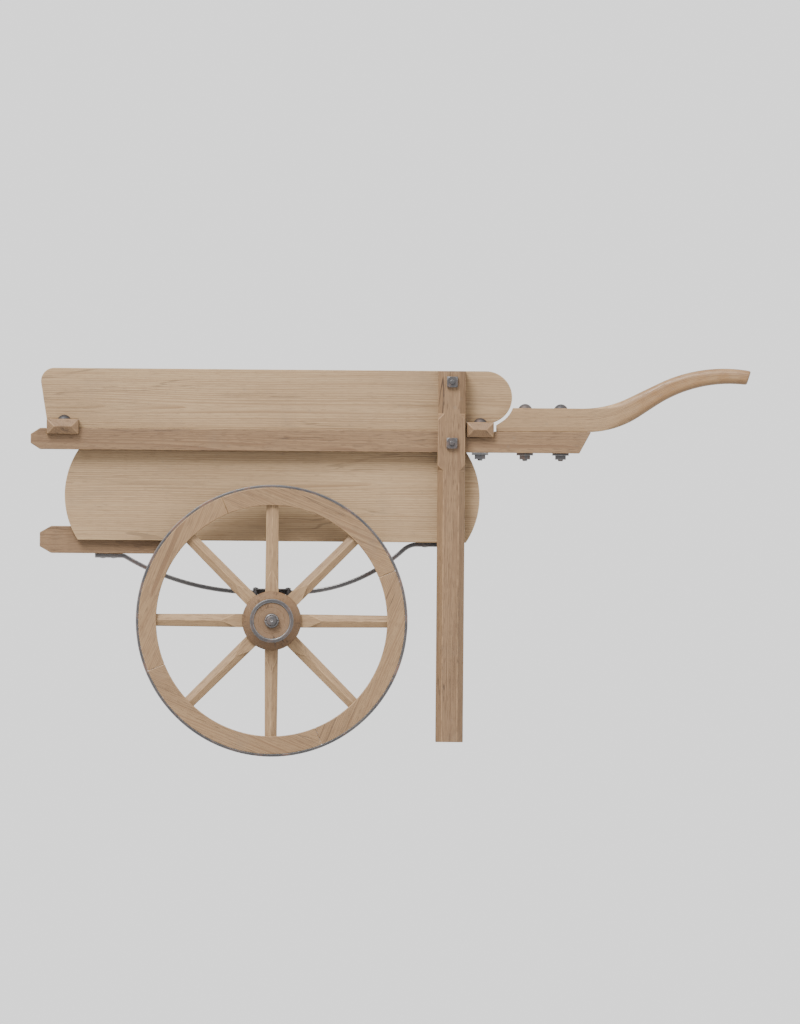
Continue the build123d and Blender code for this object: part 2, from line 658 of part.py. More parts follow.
def felloes():
    """Four curved blocks that make the rim, each on two spokes."""
    half = RIM_WIDE / 2
    section = polygon(
        (FELLOE_BORE_R, WHEEL_PLANE_Y - half),
        (TYRE_BORE_R, WHEEL_PLANE_Y - half),
        (TYRE_BORE_R, WHEEL_PLANE_Y + half),
        (FELLOE_BORE_R, WHEEL_PLANE_Y + half),
    )
    arc = 360.0 / FELLOES
    joint = -SPOKE_ANGLES[1] / 2
    one = revolve(section, Axis.Y, revolution_arc=arc)
    around = [Pos(0, 0, AXLE_Z) * Rot(0, joint + arc * k, 0) * one for k in range(FELLOES)]
    return [felloe - SPOKE_SOLIDS for felloe in around]


def make_wheels():
    half = RIM_WIDE / 2
    rim = (WHEEL_PLANE_Y - half, WHEEL_PLANE_Y + half)
    save_pair("tyre", turned_ring(TYRE_BORE_R, WHEEL_R, rim))
    save_pair("felloes", *felloes())
    save_pair("nave", nave())
    save_pair("nose_ring", nose_ring())
    save_pair("back_hoop", turned_ring(HOOP_R - HOOP_THICK, HOOP_R, (NAVE_Y[0], NAVE_Y[0] + HOOP_LONG)))
    save_pair("hub_box", turned_ring(ARM_R + ARM_RUN_FIT, BOX_R, NAVE_Y))
    for number, solid in enumerate(SPOKE_SOLIDS, 1):
        save_pair(f"spoke_{number}", solid)


# Axle and springs
def axle_bar():
    """Square bar with a shoulder and a turned arm at each end."""
    half = AXLE_BAR / 2
    bar = block((-half, half), (-SHOULDER_Y[0], SHOULDER_Y[0]), (AXLE_Z - half, AXLE_Z + half))
    arm = rod(0, (SHOULDER_Y[0], NAVE_Y[1] + ARM_STANDS_OUT), AXLE_Z, ARM_R)
    end = rod(0, SHOULDER_Y, AXLE_Z, SHOULDER_R) + arm
    return bar + end + across(end)


def axle_bed():
    """Wooden bolster over the bar, which is let into its underside."""
    half = BED_LONG_X / 2
    end_y = LEAF_Y + LEAF_WIDE / 2
    bed = block((-half, half), (-end_y, end_y), (AXLE_Z - BED_BELOW_AXLE, LEAF_BOTTOM))
    bar = AXLE_BAR / 2
    return bed - block((-bar, bar), (-end_y, end_y), (AXLE_Z - bar, AXLE_Z + bar))


def axle_cap():
    """Round nut on the end of the arm."""
    start = NAVE_Y[1] + WHEEL_FLOAT
    return turned_ring(ARM_R, CAP_R, (start, start + CAP_LONG))


def half_leaf(seat_x, foot, foot_bottom, bend_r, heading):
    """The leaf's centre line: an arc up from its seat, a bend and a flat foot. heading is -1 to the front."""
    seat_z = LEAF_BOTTOM + LEAF_THICK / 2
    near, far = foot[::heading]
    rise = foot_bottom - LEAF_THICK / 2 - seat_z
    run = abs(near - seat_x)
    angle = 2 * degrees(atan2(rise, run))
    radius = (run**2 + rise**2) / (2 * rise) - bend_r
    arc = JernArc((seat_x, seat_z), (heading, 0), radius, angle * heading)
    bend = JernArc(arc @ 1, arc % 1, bend_r, -angle * heading)
    return [arc, bend, Line(bend @ 1, (far, (bend @ 1).Y))]


def leaf_spring():
    """One bowed leaf with flat feet, seated on the axle bed."""
    seat_z = LEAF_BOTTOM + LEAF_THICK / 2
    front = half_leaf(-CLIP_PLATE_HALF, LEAF_FOOT_FRONT, BEARER_BOTTOM, LEAF_BEND_FRONT_R, -1)
    rear = half_leaf(CLIP_PLATE_HALF, LEAF_FOOT_REAR, PANEL_BOTTOM, LEAF_BEND_REAR_R, 1)
    seat = Line((-CLIP_PLATE_HALF, seat_z), (CLIP_PLATE_HALF, seat_z))
    outline = trace([*front, seat, *rear], LEAF_THICK)
    half = LEAF_WIDE / 2
    leaf = Solid.fuse(*prism(outline, (LEAF_Y - half, LEAF_Y + half)).solids())
    return leaf - SPRING_SCREWS


def clip_bolts():
    """Bolts beside the leaf, from the plate on top of it to the plate under the axle."""
    top = LEAF_TOP + CLIP_PLATE_THICK
    end = CLIP_PLATE_BOTTOM - CLIP_PLATE_THICK - CLIP_NUT_TALL - BOLT_PAST_NUT
    one = rod(0, 0, (end, top), CLIP_R) + rod(0, 0, (top, top + CLIP_HEAD_TALL), CLIP_HEAD_R)
    return [Pos(x, y, 0) * one for x in (-CLIP_X, CLIP_X) for y in CLIP_Y]


def clip_plates():
    """The plate over the leaf and the plate under the axle bar."""
    x = (-CLIP_PLATE_HALF, CLIP_PLATE_HALF)
    top = block(x, CLIP_PLATE_Y, (LEAF_TOP, LEAF_TOP + CLIP_PLATE_THICK))
    low = block(x, CLIP_PLATE_Y, (CLIP_PLATE_BOTTOM - CLIP_PLATE_THICK, CLIP_PLATE_BOTTOM))
    return [plate - CLIP_BOLTS for plate in (top, low)]


CLIP_BOLTS = clip_bolts()


def make_axle():
    nut = square_nut(CLIP_NUT, CLIP_NUT_TALL, CLIP_R)
    nuts = [Pos(x, y, CLIP_PLATE_BOTTOM - CLIP_PLATE_THICK) * nut for x in (-CLIP_X, CLIP_X) for y in CLIP_Y]
    save("axle_bar", axle_bar())
    save("axle_bed", axle_bed())
    save("axle_caps", axle_cap(), across(axle_cap()))
    save_both("clip_plates", clip_plates())
    save_both("clip_bolts", CLIP_BOLTS)
    save_both("clip_nuts", nuts)
    save_pair("leaf_spring", leaf_spring())


def save_both(node, rights):
    """One node that holds the pieces of both sides."""
    save(node, *rights, *[across(piece) for piece in rights])


def make_frame():
    save_pair("rail", rail())
    save("front_cross_member", CROSSES[0] - [CROSS_SCREW, across(CROSS_SCREW)])
    save("rear_cross_member", CROSSES[1] - [FRAME_BOLTS[0], across(FRAME_BOLTS[0])])
    save_pair("side_board", side_board())
    save_pair("lower_panel", lower_panel())
    save_pair("bearer", bearer())
    save_pair("leg", leg())
    save_pair("handle", handle())
    save("floor_planks", *floor_planks())
    save("corner_posts", *corner_posts())
    save("front_end_board", well_end((WELL_FRONT_X, INSIDE_X[0])))
    save("rear_end_board", well_end((INSIDE_X[1], WELL_REAR_X)))
    save("headboard", headboard())
    save("tailboard", tailboard())
    plate_stack = Pos(0, 0, -PLATE_THICK) * square_nut(NUT, NUT_TALL, BOLT_R)
    save_both("coach_bolts", [CROSS_SCREW, *FRAME_BOLTS, *LEG_BOLTS])
    save_both("bolt_plates", under_rail(bolt_plate()))
    save_both("square_nuts", [*under_rail(plate_stack), *leg_nuts()])
    save_both("spring_screws", SPRING_SCREWS)


os.makedirs("parts", exist_ok=True)
make_frame()
make_axle()
make_wheels()
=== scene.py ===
from math import acos, atan2, cos, pi, radians, sin, sqrt

import bmesh
import bpy
from mathutils import Matrix, Vector


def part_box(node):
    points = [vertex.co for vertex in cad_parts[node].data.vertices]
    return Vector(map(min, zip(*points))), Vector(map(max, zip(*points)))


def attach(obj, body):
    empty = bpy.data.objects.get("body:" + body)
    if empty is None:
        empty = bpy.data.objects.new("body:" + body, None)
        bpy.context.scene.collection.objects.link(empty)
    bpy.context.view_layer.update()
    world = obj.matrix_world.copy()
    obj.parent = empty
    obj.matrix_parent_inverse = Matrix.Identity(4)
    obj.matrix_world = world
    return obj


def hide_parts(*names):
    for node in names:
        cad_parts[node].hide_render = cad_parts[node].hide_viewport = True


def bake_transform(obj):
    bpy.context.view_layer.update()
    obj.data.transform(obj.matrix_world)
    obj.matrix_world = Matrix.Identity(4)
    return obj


bl_info = {
    "name": "Two-wheeled hand cart",
    "version": (1, 0, 0),
    "blender": (4, 5, 0),
    "location": "3D View > Sidebar > Hand cart",
    "description": "Timber, ironwork and stage of a wooden hand cart on leaf springs",
    "category": "Object",
}

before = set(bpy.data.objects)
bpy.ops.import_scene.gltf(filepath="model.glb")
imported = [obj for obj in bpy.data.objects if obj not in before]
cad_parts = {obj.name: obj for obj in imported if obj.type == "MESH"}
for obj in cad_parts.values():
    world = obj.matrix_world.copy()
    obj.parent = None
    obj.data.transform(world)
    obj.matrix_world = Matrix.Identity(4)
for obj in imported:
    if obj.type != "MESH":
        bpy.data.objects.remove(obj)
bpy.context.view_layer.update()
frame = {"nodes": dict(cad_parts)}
MM = 0.001
UP = Vector((0, 0, 1))
ACROSS = Vector((0, 1, 0))
ALONG = Vector((1, 0, 0))
SIDES = ("right", "left")  # pairs are made on the +Y side first


def middle_of(box):
    return (box[0] + box[1]) / 2


# Where the frame's own parts are
WHEEL_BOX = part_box("right_tyre")
WHEEL_MIDDLE = middle_of(WHEEL_BOX)
WHEEL_R = (WHEEL_BOX[1].z - WHEEL_BOX[0].z) / 2
RIM_HALF = (WHEEL_BOX[1].y - WHEEL_BOX[0].y) / 2
AXLE_X = WHEEL_MIDDLE.x
AXLE_Z = WHEEL_MIDDLE.z
WHEEL_Y = WHEEL_MIDDLE.y
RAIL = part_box("right_rail")
FRONT_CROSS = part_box("front_cross_member")
REAR_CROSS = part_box("rear_cross_member")
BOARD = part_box("right_side_board")
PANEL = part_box("right_lower_panel")
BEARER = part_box("right_bearer")
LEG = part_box("right_leg")
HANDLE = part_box("right_handle")
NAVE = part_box("right_nave")
WELL_FRONT_X = FRONT_CROSS[1].x
WELL_REAR_X = REAR_CROSS[0].x
WELL_HALF = BOARD[0].y
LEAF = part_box("right_leaf_spring")
LEAF_THICK = 11 * MM
LEAF_Y = (LEAF[0].y + LEAF[1].y) / 2
LEAF_BOTTOM = LEAF[0].z
STEPPED_BOTTOM = PANEL[0].z  # the bearer's underside behind its step


# ---------------------------------------------------------------- bench work
def clear_bench():
    """Leave edit mode and let go of every object."""
    held = bpy.context.view_layer.objects.active
    if held is not None and held.mode != "OBJECT":
        bpy.ops.object.mode_set(mode="OBJECT")
    bpy.ops.object.select_all(action="DESELECT")


def take(piece):
    """Select one piece and nothing else."""
    clear_bench()
    piece.select_set(True)
    bpy.context.view_layer.objects.active = piece
    return piece


def open_up(piece):
    """Take a piece into edit mode, with nothing selected."""
    take(piece)
    bpy.ops.object.mode_set(mode="EDIT")
    bpy.ops.mesh.select_mode(type="VERT")
    bpy.ops.mesh.select_all(action="DESELECT")


def pick(piece, kind, wanted):
    """In edit mode, select the vertices, edges or faces that are wanted and nothing else."""
    bpy.ops.mesh.select_mode(type=kind)
    bpy.ops.mesh.select_all(action="DESELECT")
    mesh = bmesh.from_edit_mesh(piece.data)
    parts = {"VERT": mesh.verts, "EDGE": mesh.edges, "FACE": mesh.faces}[kind]
    found = [part for part in parts if wanted(part)]
    for part in found:
        part.select_set(True)
    mesh.select_flush_mode()
    bmesh.update_edit_mesh(piece.data)
    return len(found)


def named(name):
    """Name the piece that was just added and put its object at the origin."""
    piece = bpy.context.view_layer.objects.active
    piece.name = name
    piece.data.name = name
    bpy.ops.object.transform_apply(location=True, rotation=True, scale=True)
    return piece


def close_up(piece):
    """Merge what touches, turn every face outwards and make sure that the piece is closed."""
    if piece.mode != "EDIT":
        open_up(piece)
    bpy.ops.mesh.select_mode(type="VERT")
    bpy.ops.mesh.select_all(action="SELECT")
    bpy.ops.mesh.remove_doubles(threshold=0.00001)
    bpy.ops.mesh.select_all(action="SELECT")
    bpy.ops.mesh.normals_make_consistent(inside=False)
    mesh = bmesh.from_edit_mesh(piece.data)
    open_edges = [edge for edge in mesh.edges if not edge.is_manifold]
    bpy.ops.object.mode_set(mode="OBJECT")
    if open_edges:
        raise RuntimeError(f"{piece.name} is open at {len(open_edges)} edges")
    return piece


def block(name, low, high):
    """A squared block between two corners."""
    clear_bench()
    low = Vector(low)
    high = Vector(high)
    bpy.ops.mesh.primitive_cube_add(size=1, location=(low + high) / 2, scale=high - low)
    return named(name)


def saw_off(piece, point, away):
    """Saw a piece through at a point, square to a direction, and drop the part on that side."""
    open_up(piece)
    bpy.ops.mesh.select_all(action="SELECT")
    bpy.ops.mesh.bisect(plane_co=point, plane_no=away, use_fill=True, clear_outer=True)
    return close_up(piece)


def mark_round(piece, point, direction):
    """Score a line right round a piece, so that it has edges there."""
    open_up(piece)
    bpy.ops.mesh.select_all(action="SELECT")
    bpy.ops.mesh.bisect(plane_co=point, plane_no=direction)
    bpy.ops.object.mode_set(mode="OBJECT")
    return piece


def sawn_board(name, outline, near, far):
    """A flat board cut to an outline of (x, z) points, from near to far across the cart."""
    clear_bench()
    start = (outline[0][0], near, outline[0][1])
    bpy.ops.mesh.primitive_plane_add(size=0.01)
    piece = named(name)
    open_up(piece)
    pick(piece, "VERT", lambda corner: corner.index > 0)
    bpy.ops.mesh.delete(type="VERT")
    pick(piece, "VERT", lambda corner: True)
    mesh = bmesh.from_edit_mesh(piece.data)
    for corner in mesh.verts:
        corner.co = start
    bmesh.update_edit_mesh(piece.data)
    here = outline[0]
    for there in outline[1:]:
        step = (there[0] - here[0], 0, there[1] - here[1])
        bpy.ops.mesh.extrude_region_move(TRANSFORM_OT_translate={"value": step})
        here = there
    bpy.ops.mesh.select_all(action="SELECT")
    bpy.ops.mesh.edge_face_add()
    bpy.ops.mesh.extrude_region_move(TRANSFORM_OT_translate={"value": (0, far - near, 0)})
    return close_up(piece)


def ring_of(piece_name, places):
    """A closed loop of edges through those places, numbered so that each copy keeps its order."""
    clear_bench()
    bpy.ops.mesh.primitive_circle_add(vertices=len(places), radius=0.01, fill_type="NOTHING")
    piece = named(piece_name)
    open_up(piece)
    mesh = bmesh.from_edit_mesh(piece.data)
    number = mesh.verts.layers.int.new("ring_number")
    for count, (corner, place) in enumerate(zip(mesh.verts, places)):
        corner[number] = count
        corner.co = place
    bmesh.update_edit_mesh(piece.data)
    bpy.ops.mesh.select_all(action="SELECT")
    return piece


def drawn_out(name, rings, flat_start=True):
    """A shape drawn out ring by ring. A start that isn't flat is bridged from side to side."""
    piece = ring_of(name, rings[0])
    if flat_start:
        bpy.ops.mesh.edge_face_add()
    for ring in rings[1:]:
        bpy.ops.mesh.extrude_region_move()
        mesh = bmesh.from_edit_mesh(piece.data)
        number = mesh.verts.layers.int["ring_number"]
        for corner in mesh.verts:
            if corner.select:
                corner.co = ring[corner[number]]
        bmesh.update_edit_mesh(piece.data)
    if not flat_start:
        bpy.ops.mesh.edge_face_add()
        middle = sum((place.y for place in rings[0]), 0.0) / len(rings[0])

        def on_a_side(edge):
            if not edge.is_boundary:
                return False
            offsets = [corner.co.y - middle for corner in edge.verts]
            return offsets[0] * offsets[1] > 0

        pick(piece, "EDGE", on_a_side)
        bpy.ops.mesh.bridge_edge_loops()
    mesh = bmesh.from_edit_mesh(piece.data)
    mesh.verts.layers.int.remove(mesh.verts.layers.int["ring_number"])
    return close_up(piece)


def turned(name, outline, centre, axis=ACROSS, steps=96, turn=2 * pi, start=0.0):
    """A piece turned about an axis through centre, from an outline of (radius, along) points.
    An outline that starts and ends on the axis is left open there. A part turn has flat ends."""
    axis = Vector(axis)
    centre = Vector(centre)
    outward = ALONG if axis != ALONG else UP
    outward = Matrix.Rotation(start, 3, axis) @ outward
    places = [centre + outward * radius + axis * along for radius, along in outline]
    piece = ring_of(name, places)
    on_axis = outline[0][0] == 0 and outline[-1][0] == 0
    if on_axis:
        ends = (places[0], places[-1])

        def along_axis(edge):
            return all(min((corner.co - end).length for end in ends) < 1e-7 for corner in edge.verts)

        pick(piece, "EDGE", along_axis)
        bpy.ops.mesh.delete(type="EDGE")
        bpy.ops.mesh.select_mode(type="VERT")
        bpy.ops.mesh.select_all(action="SELECT")
    if turn < 2 * pi:
        bpy.ops.mesh.edge_face_add()
    bpy.ops.mesh.spin(steps=steps, angle=turn, center=centre, axis=axis)
    mesh = bmesh.from_edit_mesh(piece.data)
    mesh.verts.layers.int.remove(mesh.verts.layers.int["ring_number"])
    return close_up(piece)


def copy_of(piece, name, move=None):
    """A copy with its own mesh, moved by a matrix."""
    copy = piece.copy()
    copy.data = piece.data.copy()
    copy.name = name
    copy.data.name = name
    bpy.context.scene.collection.objects.link(copy)
    if move is not None:
        copy.data.transform(move)
        if move.determinant() < 0:
            close_up(copy)
    return copy


OTHER_SIDE = Matrix.Diagonal((1, -1, 1, 1))


def pair_of(piece, stem):
    """Name a piece for the right side and mirror it to the left."""
    piece.name = f"right_{stem}"
    piece.data.name = piece.name
    return {"right": piece, "left": copy_of(piece, f"left_{stem}", OTHER_SIDE)}


def joined(pieces, name):
    """Several pieces made one."""
    clear_bench()
    for piece in pieces:
        piece.select_set(True)
    bpy.context.view_layer.objects.active = pieces[0]
    bpy.ops.object.join()
    pieces[0].name = name
    pieces[0].data.name = name
    return pieces[0]


def cut_with(piece, cutter, operation="DIFFERENCE"):
    """Cut a piece with another, which is used up."""
    take(piece)
    bpy.ops.object.modifier_add(type="BOOLEAN")
    cut = piece.modifiers[-1]
    cut.operation = operation
    cut.solver = "EXACT"
    cut.object = cutter
    bpy.ops.object.modifier_apply(modifier=cut.name)
    bpy.data.objects.remove(cutter)
    return close_up(piece)


def ease_edges(piece, width, segments=2, sharper_than=28):
    """Take the sharpness off a piece's edges and note the eased strips as its arrises."""
    take(piece)
    marker = bpy.data.materials.get("bench_marker") or bpy.data.materials.new("bench_marker")
    piece.data.materials.clear()
    piece.data.materials.append(marker)
    piece.data.materials.append(marker)
    bpy.ops.object.modifier_add(type="BEVEL")
    bevel = piece.modifiers[-1]
    bevel.width = width
    bevel.segments = segments
    bevel.limit_method = "ANGLE"
    bevel.angle_limit = radians(sharper_than)
    bevel.material = 1
    bpy.ops.object.modifier_apply(modifier=bevel.name)
    strips = [float(face.material_index) for face in piece.data.polygons]
    arris = piece.data.attributes.new("arris", "FLOAT", "FACE")
    arris.data.foreach_set("value", strips)
    piece.data.polygons.foreach_set("material_index", [0] * len(strips))
    piece.data.materials.clear()
    return piece


def smooth_over(piece, angle=40):
    """Shade rounded parts smooth while flat faces stay flat."""
    take(piece)
    bpy.ops.object.shade_smooth_by_angle(angle=radians(angle))
    bpy.ops.object.modifier_add(type="WEIGHTED_NORMAL")
    weighted = piece.modifiers[-1]
    weighted.keep_sharp = True
    bpy.ops.object.modifier_apply(modifier=weighted.name)
    return piece


def lay_grain(piece, along, face, pith, start=0.0, lean=0.012, follow=None):
    """Note where each point lay in the log: along the grain, then twice across it from the pith.
    follow gives, for a place, how far the grain has wandered from a straight line."""
    along = Vector(along).normalized()
    side = Vector(face).normalized()
    third = along.cross(side)
    corners = [Vector(corner) for corner in piece.bound_box]
    centre = sum(corners, Vector()) / len(corners)
    values = []
    for point in piece.data.vertices:
        offset = point.co - centre
        if follow is not None:
            offset = offset - follow(point.co)
        run = offset.dot(along)
        values.extend((run + start, offset.dot(side) + pith[0] + lean * run, offset.dot(third) + pith[1]))
    place = piece.data.attributes.new("log_place", "FLOAT_VECTOR", "POINT")
    place.data.foreach_set("vector", values)
    return piece


def hand_over(piece, body, slot_name, *nodes):
    """Give a finished piece its finish and its body, and hide the frame parts that it stands for."""
    finish = FINISHES[slot_name]()
    piece.data.materials.clear()
    piece.data.materials.append(finish)
    if body is not None:
        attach(piece, body)
    if nodes:
        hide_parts(*nodes)
    return piece


def timber(piece, body, slot_name, nodes, along, face, pith, start, width=None, **grain):
    """Finish a timber: eased arrises, grain, smooth shading and its place on the cart."""
    sizes = bpy.context.scene.hand_cart_sizes
    ease_edges(piece, width or sizes.timber_arris)
    lay_grain(piece, along, face, pith, start, **grain)
    smooth_over(piece)
    return hand_over(piece, body, slot_name, *nodes)


def ironwork(piece, body, slot_name, nodes, width=None, segments=2):
    """Finish a piece of iron: eased edges, smooth shading and its place on the cart."""
    sizes = bpy.context.scene.hand_cart_sizes
    ease_edges(piece, width or sizes.iron_edge, segments)
    smooth_over(piece)
    return hand_over(piece, body, slot_name, *nodes)


def arc(centre, radius, start, end, steps):
    """Points on an arc in X and Z, with both ends; angles in degrees from +X."""
    turn = (end - start) / steps
    angles = [radians(start + turn * step) for step in range(steps + 1)]
    return [(centre[0] + radius * cos(angle), centre[1] + radius * sin(angle)) for angle in angles]


def degrees_of(x, z):
    return atan2(z, x) * 180 / pi


# ---------------------------------------------------------------- finishes
def feed(tree, socket, value):
    """Set a socket, or join it to another node's output."""
    if isinstance(value, bpy.types.NodeSocket):
        tree.links.new(value, socket)
    elif value is not None:
        socket.default_value = value


def sums(tree, operation, first, second=None, third=None):
    node = tree.nodes.new("ShaderNodeMath")
    node.operation = operation
    for socket, value in zip(node.inputs, (first, second, third)):
        feed(tree, socket, value)
    return node.outputs[0]


def grade(tree, value, low, high, to_low=0.0, to_high=1.0):
    """Ease a value from one level to another between low and high."""
    node = tree.nodes.new("ShaderNodeMapRange")
    node.interpolation_type = "SMOOTHSTEP"
    for socket, setting in zip(node.inputs, (value, low, high, to_low, to_high)):
        feed(tree, socket, setting)
    return node.outputs[0]


def speckle(tree, place, stretch, detail=2.0, roughness=0.5, warp=0.0):
    """Noise whose grains are one over stretch long each way, in metres."""
    scaled = tree.nodes.new("ShaderNodeMapping")
    feed(tree, scaled.inputs["Vector"], place)
    scaled.inputs["Scale"].default_value = stretch
    noise = tree.nodes.new("ShaderNodeTexNoise")
    feed(tree, noise.inputs["Vector"], scaled.outputs[0])
    noise.inputs["Scale"].default_value = 1.0
    noise.inputs["Detail"].default_value = detail
    noise.inputs["Roughness"].default_value = roughness
    noise.inputs["Distortion"].default_value = warp
    return noise.outputs[0]


def dimples(tree, place, stretch, smoothness=0.6):
    """Soft hollows like hammer marks, from 0 in the middle of each."""
    scaled = tree.nodes.new("ShaderNodeMapping")
    feed(tree, scaled.inputs["Vector"], place)
    scaled.inputs["Scale"].default_value = stretch
    cells = tree.nodes.new("ShaderNodeTexVoronoi")
    cells.feature = "SMOOTH_F1"
    feed(tree, cells.inputs["Vector"], scaled.outputs[0])
    cells.inputs["Scale"].default_value = 1.0
    cells.inputs["Smoothness"].default_value = smoothness
    return cells.outputs["Distance"]


def blend_colours(tree, share, first, second, kind="MIX"):
    node = tree.nodes.new("ShaderNodeMix")
    node.data_type = "RGBA"
    node.blend_type = kind
    feed(tree, node.inputs[0], share)
    feed(tree, node.inputs[6], first)
    feed(tree, node.inputs[7], second)
    return node.outputs[2]


def shared_effect(name, wanted, given):
    """An empty node group with its inputs and outputs, and whether it still has to be filled."""
    if name in bpy.data.node_groups:
        return bpy.data.node_groups[name], None, None
    tree = bpy.data.node_groups.new(name, "ShaderNodeTree")
    for label, kind, default in wanted:
        socket = tree.interface.new_socket(label, in_out="INPUT", socket_type=kind)
        if default is not None:
            socket.default_value = default
    for label, kind in given:
        tree.interface.new_socket(label, in_out="OUTPUT", socket_type=kind)
    return tree, tree.nodes.new("NodeGroupInput").outputs, tree.nodes.new("NodeGroupOutput").inputs


def sawn_grain():
    """Growth rings, fibres, open pores and broad changes of tone, all in the log's own directions."""
    tree, given, out = shared_effect(
        "sawn_grain",
        [
            ("Log Place", "NodeSocketVector", None),
            ("Early Wood", "NodeSocketColor", (0.6, 0.42, 0.25, 1)),
            ("Late Wood", "NodeSocketColor", (0.35, 0.21, 0.11, 1)),
            ("Ring Gap", "NodeSocketFloat", 0.004),
            ("Wander", "NodeSocketFloat", 0.008),
            ("Pores", "NodeSocketFloat", 0.5),
            ("Checks", "NodeSocketFloat", 0.5),
        ],
        [("Colour", "NodeSocketColor"), ("Roughness", "NodeSocketFloat"), ("Height", "NodeSocketFloat")],
    )
    if given is None:
        return tree
    place = given["Log Place"]
    split = tree.nodes.new("ShaderNodeSeparateXYZ")
    feed(tree, split.inputs[0], place)
    squared = sums(tree, "MULTIPLY", split.outputs[1], split.outputs[1])
    squared = sums(tree, "MULTIPLY_ADD", split.outputs[2], split.outputs[2], squared)
    from_pith = sums(tree, "SQRT", squared)
    drift = sums(tree, "SUBTRACT", speckle(tree, place, (1.4, 9, 9), 2.0), 0.5)
    from_pith = sums(tree, "MULTIPLY_ADD", drift, given["Wander"], from_pith)
    rings = sums(tree, "DIVIDE", from_pith, given["Ring Gap"])
    uneven = speckle(tree, place, (0.4, 60, 60), 1.0)
    rings = sums(tree, "MULTIPLY_ADD", uneven, 0.9, rings)
    year = sums(tree, "FRACT", rings)
    late = grade(tree, year, 0.30, 0.97)
    late = sums(tree, "MULTIPLY", late, grade(tree, year, 1.0, 0.975))
    year_tone = speckle(tree, place, (0.2, 120, 120), 0.0)
    late = sums(tree, "MULTIPLY", late, grade(tree, year_tone, 0.25, 0.7, 0.35, 1.0))

    fibre = speckle(tree, place, (10, 950, 950), 2.0)
    streak = speckle(tree, place, (2.4, 150, 150), 3.0, 0.6)
    tone = speckle(tree, place, (1.1, 6, 6), 2.0)
    pore_field = speckle(tree, place, (42, 1500, 1500), 0.0)
    pores = sums(tree, "MULTIPLY", grade(tree, pore_field, 0.60, 0.74), grade(tree, late, 0.7, 0.1))
    pores = sums(tree, "MULTIPLY", pores, given["Pores"])
    around = sums(tree, "ARCTAN2", split.outputs[2], split.outputs[1])
    spread = tree.nodes.new("ShaderNodeCombineXYZ")
    feed(tree, spread.inputs[0], split.outputs[0])
    feed(tree, spread.inputs[1], around)
    feed(tree, spread.inputs[2], from_pith)
    check_field = speckle(tree, spread.outputs[0], (2.2, 9, 14), 2.0)
    off_line = sums(tree, "ABSOLUTE", sums(tree, "SUBTRACT", check_field, 0.5))
    checks = grade(tree, off_line, 0.004, 0.016, 1.0, 0.0)
    here_and_there = grade(tree, speckle(tree, place, (3, 24, 24), 1.0), 0.5, 0.62)
    checks = sums(tree, "MULTIPLY", checks, here_and_there)
    checks = sums(tree, "MULTIPLY", checks, given["Checks"])

    colour = blend_colours(tree, sums(tree, "MULTIPLY", late, 0.8), given["Early Wood"], given["Late Wood"])
    streaked = sums(tree, "MULTIPLY", grade(tree, streak, 0.45, 0.75), 0.42)
    colour = blend_colours(tree, streaked, colour, given["Late Wood"])
    toned = grade(tree, tone, 0.35, 0.7, 0.0, 0.34)
    deeper = blend_colours(tree, 1.0, colour, given["Late Wood"], "MULTIPLY")
    deeper = blend_colours(tree, 0.45, colour, deeper)
    colour = blend_colours(tree, toned, colour, deeper)
    fine = grade(tree, fibre, 0.35, 0.68, 0.0, 0.22)
    colour = blend_colours(tree, fine, colour, given["Late Wood"])
    dark_pore = blend_colours(tree, 1.0, given["Late Wood"], (0.42, 0.36, 0.32, 1), "MULTIPLY")
    colour = blend_colours(tree, pores, colour, dark_pore)
    black_check = blend_colours(tree, 1.0, given["Late Wood"], (0.22, 0.18, 0.15, 1), "MULTIPLY")
    feed(tree, out["Colour"], blend_colours(tree, checks, colour, black_check))

    rough = sums(tree, "MULTIPLY_ADD", late, -0.14, 0.62)
    rough = sums(tree, "MULTIPLY_ADD", fibre, 0.16, rough)
    feed(tree, out["Roughness"], rough)
    height = sums(tree, "MULTIPLY_ADD", late, 0.30, 0.35)
    height = sums(tree, "MULTIPLY_ADD", fibre, 0.45, height)
    height = sums(tree, "MULTIPLY_ADD", pores, -0.8, height)
    feed(tree, out["Height"], sums(tree, "MULTIPLY_ADD", checks, -2.0, height))
    return tree


